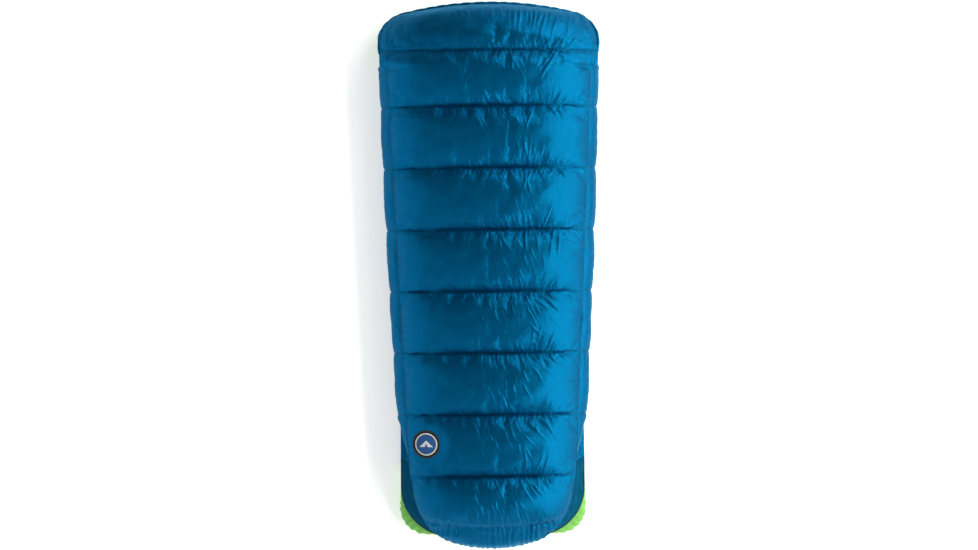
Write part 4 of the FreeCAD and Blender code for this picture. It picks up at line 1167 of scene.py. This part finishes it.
def make_wing(name, side):
    """The wing's two sheets with the down between them, its edge binding and its hand pocket."""
    body = name + "_wing"
    rows = row_list(SIDE_BOUNDS, 9.0)
    shares = np.linspace(0, 1, 33)
    row, share = np.meshgrid(rows, shares, indexing="ij")
    x = side * mix(side_seam(row) - 0.7, wing_edge(row) + BINDING_WIDTH - 2, share)
    over = np.stack([x, row, wing_top_z(row, share)], -1)
    under = refine(np.stack([x, row, wing_low_z(row, share)], -1))
    pinned = pin_map(rows, len(shares), SIDE_BOUNDS)
    facing_down = side > 0                      # columns run towards the centre line here
    over = refine(simulate(over, pinned, flip=facing_down, pressure=3.0, slack=0.06, cap=8.0,
                           frames=14))
    rows = fine_rows(rows)
    ripple = soft_noise(under[..., 0], under[..., 1] * 0.4, 34, 81 + side) * 0.8
    columns = under.shape[1]
    under[..., 2] += np.clip(ripple, 0, None) * swell(np.linspace(0, 1, columns), 0.5)[None]
    fields = seam_fields(rows, columns, SIDE_SEAMS)
    inner = sheet("wing_inner_" + name, over, 0.8, flip=facing_down, values=fields)
    outer = sheet("wing_outer_" + name, under, 0.8, flip=not facing_down, values=fields)
    fit(inner, body, "lining_nylon", "wing_lining_" + name)
    fit(outer, body, "shell_nylon", "wing_shell_" + name)
    flank_fill("wing_down_" + name, ((rows, over), (rows, under)), (0.09, 0.93), side > 0,
               WING_FOOT - 1, body, "wing_fill_" + name)
    make_binding(name, side)
    make_hand_pocket(name, side, rows, over)


def make_binding(name, side):
    rows = np.linspace(WING_HEAD, WING_FOOT, 440)
    x = side * (wing_edge(rows) + BINDING_WIDTH / 2)
    z = 5 + 0.5 * noise_along(rows, 60, 91 + side)
    stitch = 1 + 0.035 * np.cos(rows / 3.1 * TURN)
    binding = tube("wing_edge_tape_" + name, np.stack([x, rows, z], -1),
                   (BINDING_WIDTH / 2 * stitch)[:, None], 14, squeeze=0.58)
    fit(binding, name + "_wing", "binding_tape", "wing_binding_" + name)


def make_hand_pocket(name, side, rows, over):
    """A sheet sewn on the wing's lining on three sides, with a turned hem at its open side."""
    pocket_low, pocket_high = box_mm("hand_pocket_right")
    keep = (rows <= pocket_high[1]) & (rows >= pocket_low[1])
    last = over.shape[1] - 1
    part = over[keep][:, round(0.14 * last):round(0.82 * last) + 1].copy()
    across = np.linspace(0, 1, part.shape[1])[None]
    along = np.linspace(0, 1, part.shape[0])[:, None]
    lift = 1.3 + 3.2 * swell(along, 0.5) * smooth(across / 0.25)
    part[..., 2] += lift + 0.5 * soft_noise(part[..., 0], part[..., 1], 30, 95)
    flat = 0 * part[..., 0]
    distance = np.minimum(np.minimum(along, 1 - along) * 140, across * 200) + flat
    pocket = sheet("hand_pocket_cloth_" + name, part, 0.9, flip=side > 0,
                   values={"seam_mm": distance, "painted_shade": flat})
    fit(pocket, name + "_wing", "lining_nylon", "hand_pocket_" + name)
    hem = tube("hand_pocket_hem_" + name, part[:, -1] + np.array([0, 0, 0.2]), 1.7, 10)
    fit(hem, name + "_wing", "lining_nylon")


# ------------------------------------------------------------- pad pocket
MOUTH = BASE_HIGH[1]
PANEL_END, PANEL_CORNER = PANEL_LOW[1] - 12, 165.0
POCKET_END, POCKET_CORNER = BASE_LOW[1], 88.0
POCKET_WIDTH = BASE_HIGH[0]


def pocket_outline(half, mouth, end, corner, count):
    """Right half of a pocket's outline from its mouth to the centre line, evenly spaced."""
    turn = np.linspace(0, QUARTER, 60)
    path = [[half, mouth]]
    path += [[half - corner + corner * math.cos(a), end + corner - corner * math.sin(a)] for a in turn]
    path = np.array(path + [[0, end]], float)
    return along_path(path, np.linspace(0, run_length(path)[-1], count))


def both_sides(path):
    mirrored = path[-2::-1] * np.array([-1, 1])
    return np.concatenate([path, mirrored])


def make_pocket_wall(count):
    """The gathered green wall, from the panel's edge out and down to the ground."""
    inner = both_sides(pocket_outline(POCKET_HALF, MOUTH, PANEL_END, PANEL_CORNER, count))
    outer = both_sides(pocket_outline(POCKET_WIDTH, MOUTH, POCKET_END, POCKET_CORNER, count))
    out = plan_outward(outer)[:, :2]
    out = out * np.sign(np.sum(out * outer, axis=1, keepdims=True) + 1e-6)
    share = np.linspace(0, 1, 26)[None, :]
    spread = np.sin(QUARTER * np.clip(share / 0.62, 0, 1))[..., None] ** 0.8
    length = run_length(outer)
    room = np.linalg.norm(outer - inner, axis=1)
    outer = outer - out * 4.2 * (1 - smooth(room / 15))[:, None]
    phase = length / 26.0 * TURN + 2.4 * noise_along(length, 90, 51)
    wave = np.cos(phase) * (0.75 + 0.45 * noise_along(length, 60, 52)) + 0.22 * np.cos(phase * 3.1)
    wave = (wave * (smooth(room / 22) * 3.2 + 0.3))[:, None]
    plan_xy = inner[:, None] + (outer - inner)[:, None] * spread
    profile = np.sin(math.pi * share) ** 0.7
    swollen = 2.4 * profile * (1 - share) ** 0.3
    radial = wave * 0.6 * profile + swollen - 5 * smooth((share - 0.6) / 0.4)
    plan_xy = plan_xy + out[:, None] * radial[..., None]
    z = mix(LEDGE_Z - 0.9, 0.9, share ** 1.15) + wave * 0.8 * profile * (1 - share)
    grid = np.concatenate([plan_xy, z[..., None]], -1)
    edge = {"seam_mm": np.repeat(share * 60, len(grid), 0), "painted_shade": np.zeros(grid.shape[:2])}
    fit(sheet("pocket_wall", grid, 0.9, values=edge), "root", "stretch_green", "pad_pocket_base")
    return grid[:count, -1]


def make_pocket():
    """The stretch pocket: a gathered wall and a floor of green knit, and a smooth upper panel."""
    half = make_pocket_wall(330)
    across = np.linspace(-1, 1, 90)[None, :]
    x = half[:, :1] * across
    y = np.repeat(half[:, 1:2], 90, 1)
    z = 0.75 + 0.45 * np.clip(soft_noise(x, y, 46, 53), -1, 1) * (1 - across ** 6)
    fit(sheet("pocket_floor", np.stack([x, y, z], -1), 0.7), "root", "stretch_green")

    count = 150
    across = np.linspace(-1, 1, count)[None, :]
    half = pocket_outline(POCKET_HALF + 2.0, WING_FOOT + 26, PANEL_END, PANEL_CORNER, count)
    x = half[:, :1] * across
    y = np.repeat(half[:, 1:2], count, 1)
    ripple = 0.7 * soft_noise(x, y, 60, 54) + 0.35 * soft_noise(x, y, 17, 55)
    z = LEDGE_Z - 1.2 + ripple * smooth((abs(x) - 200) / 60) - 2.4 * smooth((y - WING_FOOT + 8) / 22)
    rolled = {"seam_mm": np.repeat((1 - abs(across)) * 310, count, 0), "painted_shade": 0 * x}
    fit(sheet("pocket_panel", np.stack([x, y, z], -1), 0.8, values=rolled),
        "root", "panel_blue", "pad_pocket_panel")

    bead = both_sides(pocket_outline(POCKET_HALF - 0.3, MOUTH - 1, PANEL_END, PANEL_CORNER, 300))
    bead = np.concatenate([bead, np.full((len(bead), 1), LEDGE_Z - 1.2)], 1)
    radius = 1.5 + 0.18 * np.cos(np.arange(len(bead)) * 1.3)
    fit(tube("pocket_elastic", bead, radius[:, None], 10), "root", "elastic", "pad_pocket_elastic")


# ----------------------------------------------------------------- head hem
HEM_OFFSET = 7.0
HEM_TUCK = 20.0
HEM_RADIUS = 4.9


def hem_line():
    """The tunnel's axis round the head: the sheets' edge moved outwards, its ends tucked in."""
    rows = np.concatenate([[HEAD_ROUNDING - 18, HEAD_ROUNDING - 9],
                           HEAD_ROUNDING + CORNER_DEPTH * np.sin(CORNER_TURN * np.linspace(0, 1, 26))])
    x, y = plan(rows, np.ones(len(rows)), SHEET_INSET)
    right = np.stack([x, y, edge_height(rows) - 2.5], -1)[::-1]
    across = np.linspace(-1, 1, 90)[1:-1]
    x, y = plan(np.full(len(across), HEAD_EDGE), across, SHEET_INSET)
    top = np.stack([x, y, valley(HEAD_EDGE, across) - 3], -1)
    mirror = np.array([-1, 1, 1])
    path = np.concatenate([right[::-1] * mirror, top, right])
    path = path + plan_outward(path) * HEM_OFFSET
    level = SEAM_Z - 38.0
    tuck = np.array([[HEAD_HALF - HEM_TUCK, NECK - HEM_TUCK, level],
                     [HEAD_HALF, NECK - HEM_TUCK / 4, level + HEM_TUCK / 3]])
    path = np.concatenate([tuck * mirror, path, tuck[::-1]])
    place = np.arange(0, run_length(path)[-1], 1.6)
    path = along_path(path, place)
    for _ in range(8):
        path[1:-1] = (path[:-2] + 2 * path[1:-1] + path[2:]) / 4
    return path, place


def make_head_hem():
    path, place = hem_line()
    phase = place / 9.5 * TURN + 2.5 * noise_along(place, 60, 21)
    gather = 0.45 * np.cos(phase) + 0.25 * np.cos(phase * 2.3 + 1)
    angle = np.linspace(0, TURN, 16, endpoint=False)[None]
    radius = HEM_RADIUS + gather[:, None] * (0.6 + 0.4 * np.cos(angle)) \
        + 0.15 * np.cos(angle * 3 + phase[:, None])
    scallop = 1.2 * np.cos(place / 43 * TURN + noise_along(place, 150, 22) * 2)
    path = path + plan_outward(path) * np.clip(scallop, -1.2, 0.2)[:, None]
    fit(tube("head_hem_tunnel", path, radius, 16), "root", "shell_nylon", "head_hem")


# -------------------------------------------------------------------- patch
PATCH_LIFT, PATCH_DEPTH = 0.9, 0.8
RIM_WIDTH, RIM_HEIGHT, RIM_TURNS = 2.6, 1.45, 150


def make_patch():
    """A round sewn patch that follows the shell: a woven face and a thick overlocked rim."""
    near = (abs(top_grid[..., 0] - PATCH_X) < 70) & (abs(top_grid[..., 1] - PATCH_Y) < 70)
    low_row, high_row = np.flatnonzero(near.any(1))[[0, -1]]
    low_column, high_column = np.flatnonzero(near.any(0))[[0, -1]]
    part = top_grid[low_row:high_row + 1, low_column:high_column + 1]
    under = BVHTree.FromPolygons(part.reshape(-1, 3).tolist(),
                                 quads_of(grid_index(*part.shape[:2])).tolist())
    radii = np.concatenate([[0.6], np.linspace(3, PATCH_RADIUS - 3, 22)])
    angles = np.linspace(0, TURN, 97)
    grid = np.empty((len(radii), len(angles), 3))
    for i, radius in enumerate(radii):
        for j, angle in enumerate(angles):
            x, y = PATCH_X + radius * math.cos(angle), PATCH_Y - radius * math.sin(angle)
            grid[i, j] = x, y, under.ray_cast(Vector((x, y, 400)), Vector((0, 0, -1)))[0][2]
    z = grid[..., 2].copy()
    for _ in range(10):
        z[1:-1, 1:-1] = (z[:-2, 1:-1] + z[2:, 1:-1] + z[1:-1, :-2] + z[1:-1, 2:]) / 4
        z[:, -1] = z[:, 0] = (z[:, 1] + z[:, -2]) / 2
        z[0] = z[0].mean()
    grid[..., 2] = np.maximum(z, grid[..., 2]) + PATCH_LIFT
    grid = grid[:, :-1]
    fit(patch_face(grid), "root", "patch_cloth", "patch_face")
    fit(patch_rim(grid[-1]), "root", "patch_thread", "patch_rim")


def patch_face(grid):
    rings, spokes = grid.shape[:2]
    top, low = grid_index(rings, spokes), grid_index(rings, spokes, rings * spokes)
    rim = np.stack([top[-1], low[-1], np.roll(low[-1], -1), np.roll(top[-1], -1)], -1)
    groups = [np.concatenate([quads_of(wrapped(top)), quads_of(wrapped(low), True), rim]),
              top[:1, ::-1], low[:1, :]]
    inner = grid - np.array([0, 0, PATCH_DEPTH])
    points = np.concatenate([grid.reshape(-1, 3), inner.reshape(-1, 3)])
    face = make_mesh("patch_disc", points, groups)
    point_values(face, "across_mm", points[:, 0] - PATCH_X)
    point_values(face, "along_mm", points[:, 1] - PATCH_Y)
    return face


def patch_rim(ring):
    """Overlock threads lie side by side round the patch's edge."""
    around = np.linspace(0, 1, RIM_TURNS * 4, endpoint=False)
    closed = np.concatenate([ring, ring[:1]])
    path = np.stack([np.interp(around * len(ring), np.arange(len(ring) + 1), closed[:, axis])
                     for axis in range(3)], -1)
    out = path - np.array([PATCH_X, PATCH_Y, 0])
    out[:, 2] = 0
    out /= np.linalg.norm(out, axis=1, keepdims=True)
    angle = np.linspace(0, TURN, 10, endpoint=False)[None, :, None]
    thread = 1 + 0.16 * np.cos(around * RIM_TURNS * TURN)[:, None, None]
    aside = out[:, None] * (np.cos(angle) * RIM_WIDTH)
    lift = np.array([0, 0, 1.0]) * (np.sin(angle) * RIM_HEIGHT)
    points = path[:, None] + (aside + lift) * thread
    index = grid_index(len(path), 10)
    index = wrapped(np.concatenate([index, index[:1]]))
    return make_mesh("patch_border", points, [quads_of(index, True)])


# ----------------------------------------------------------------- assembly

make_top()
make_foot_wall(make_foot_band())
lining_layer = make_lining()
make_fills(((FINE_ROWS, top_grid), lining_layer))
make_head_hem()
make_patch()
for side_name, side_sign in SIDES:
    make_side(side_name, side_sign)
    make_wing(side_name, side_sign)
make_pocket()

CAD_SLOTS = {entry["node"]: entry["material_slot"] for entry in frame["record"]["subparts"]}
for node_name, cad_node in frame["nodes"].items():
    if not cad_node.hide_render:
        dress(cad_node, CAD_SLOTS[node_name])
spring_low, spring_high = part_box("cord_lock_spring")
press = next(joint for joint in frame["record"]["behaviour"]["joints"]
             if joint["name"] == "lock_button_press")
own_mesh(frame["nodes"]["cord_lock_spring"], "lock_button_press", axis=(1, 0, 0),
          anchor=tuple(spring_low), keep=1 - press["range_m"][1] / (spring_high[0] - spring_low[0]))


# ------------------------------------------------------ floor, light, camera
PHOTO_WIDTH, PHOTO_HEIGHT = 978, 550
OBJECT_HEIGHT = 546                             # how much of the photo's height the quilt fills
CAMERA_DISTANCE = 8.0


def plain_floor():
    size, z = 9000, -2
    corners = [[-size, -size, z], [size, -size, z], [size, size, z], [-size, size, z]]
    floor = make_mesh("studio_floor", corners, [np.array([[0, 1, 2, 3]])])
    made = Finish("studio_floor")
    grain = made.noise(made.place(), 300.0, 2.0)
    colour = made.between(grain, rgb((0.93, 0.93, 0.93)), rgb((0.95, 0.95, 0.95)))
    floor.data.materials.append(made.done(
        Base_Color=colour, Roughness=0.95, Specular_IOR_Level=0.0,
        Emission_Color=rgb((1, 1, 1)), Emission_Strength=0.36))


def softbox(name, width, length, power, turn, distance, colour=(1, 1, 1), ahead=0.0):
    """A rectangular light that aims at the quilt: turn degrees aside, or ahead of its head end."""
    light = bpy.data.lights.new(name, "AREA")
    light.shape = "RECTANGLE"
    light.size, light.size_y = width, length
    light.energy = power
    light.color = colour
    lamp = bpy.data.objects.new(name, light)
    bpy.context.scene.collection.objects.link(lamp)
    angle = math.radians(turn)
    lamp.location = (distance * math.sin(angle), HIGH_Y * (ahead > 0) + ahead,
                     distance * math.cos(angle))
    lamp.rotation_euler = (-math.atan2(ahead, distance), angle, 0)


def studio_world():
    """White surroundings that are brighter low down and darker towards the head end."""
    world = bpy.data.worlds.new("studio")
    world.use_nodes = True
    tree = world.node_tree
    direction = Wire(tree, node(tree, "ShaderNodeTexCoord").outputs["Generated"])
    _, y, z = split(tree, direction)
    low = z.maths("SUBTRACT", 1.0, swap=True, clamp=True)
    background = tree.nodes["Background"]
    background.inputs["Color"].default_value = (1, 1, 1, 1)
    strength = low * 0.6 + 0.485 - y.maths("MAXIMUM") * 0.95
    connect(tree, background.inputs["Strength"], strength)
    bpy.context.scene.world = world


def photo_camera():
    scene = bpy.context.scene
    scene.view_settings.view_transform = "Standard"
    lens = bpy.data.cameras.new("camera")
    camera = bpy.data.objects.new("camera", lens)
    scene.collection.objects.link(camera)
    scene.camera = camera
    frame_height = (HIGH_Y - LOW_Y) * PHOTO_HEIGHT / OBJECT_HEIGHT
    lens.lens = lens.sensor_width * CAMERA_DISTANCE / (frame_height * PHOTO_WIDTH / PHOTO_HEIGHT)
    lens.clip_end = 60
    camera.location = (-0.006, 0.0, CAMERA_DISTANCE + 0.06)
    camera.rotation_euler = (0, 0, math.radians(-0.58))


plain_floor()
studio_world()
softbox("key", 0.5, 7.0, 175, 50, 3.0, (1.0, 1.0, 0.86))
softbox("fill", 1.0, 6.0, 24, -62, 3.2, (0.8, 1.0, 0.96))
softbox("head_light", 0.9, 0.9, 24, 36, 2.2, ahead=2.0)
photo_camera()
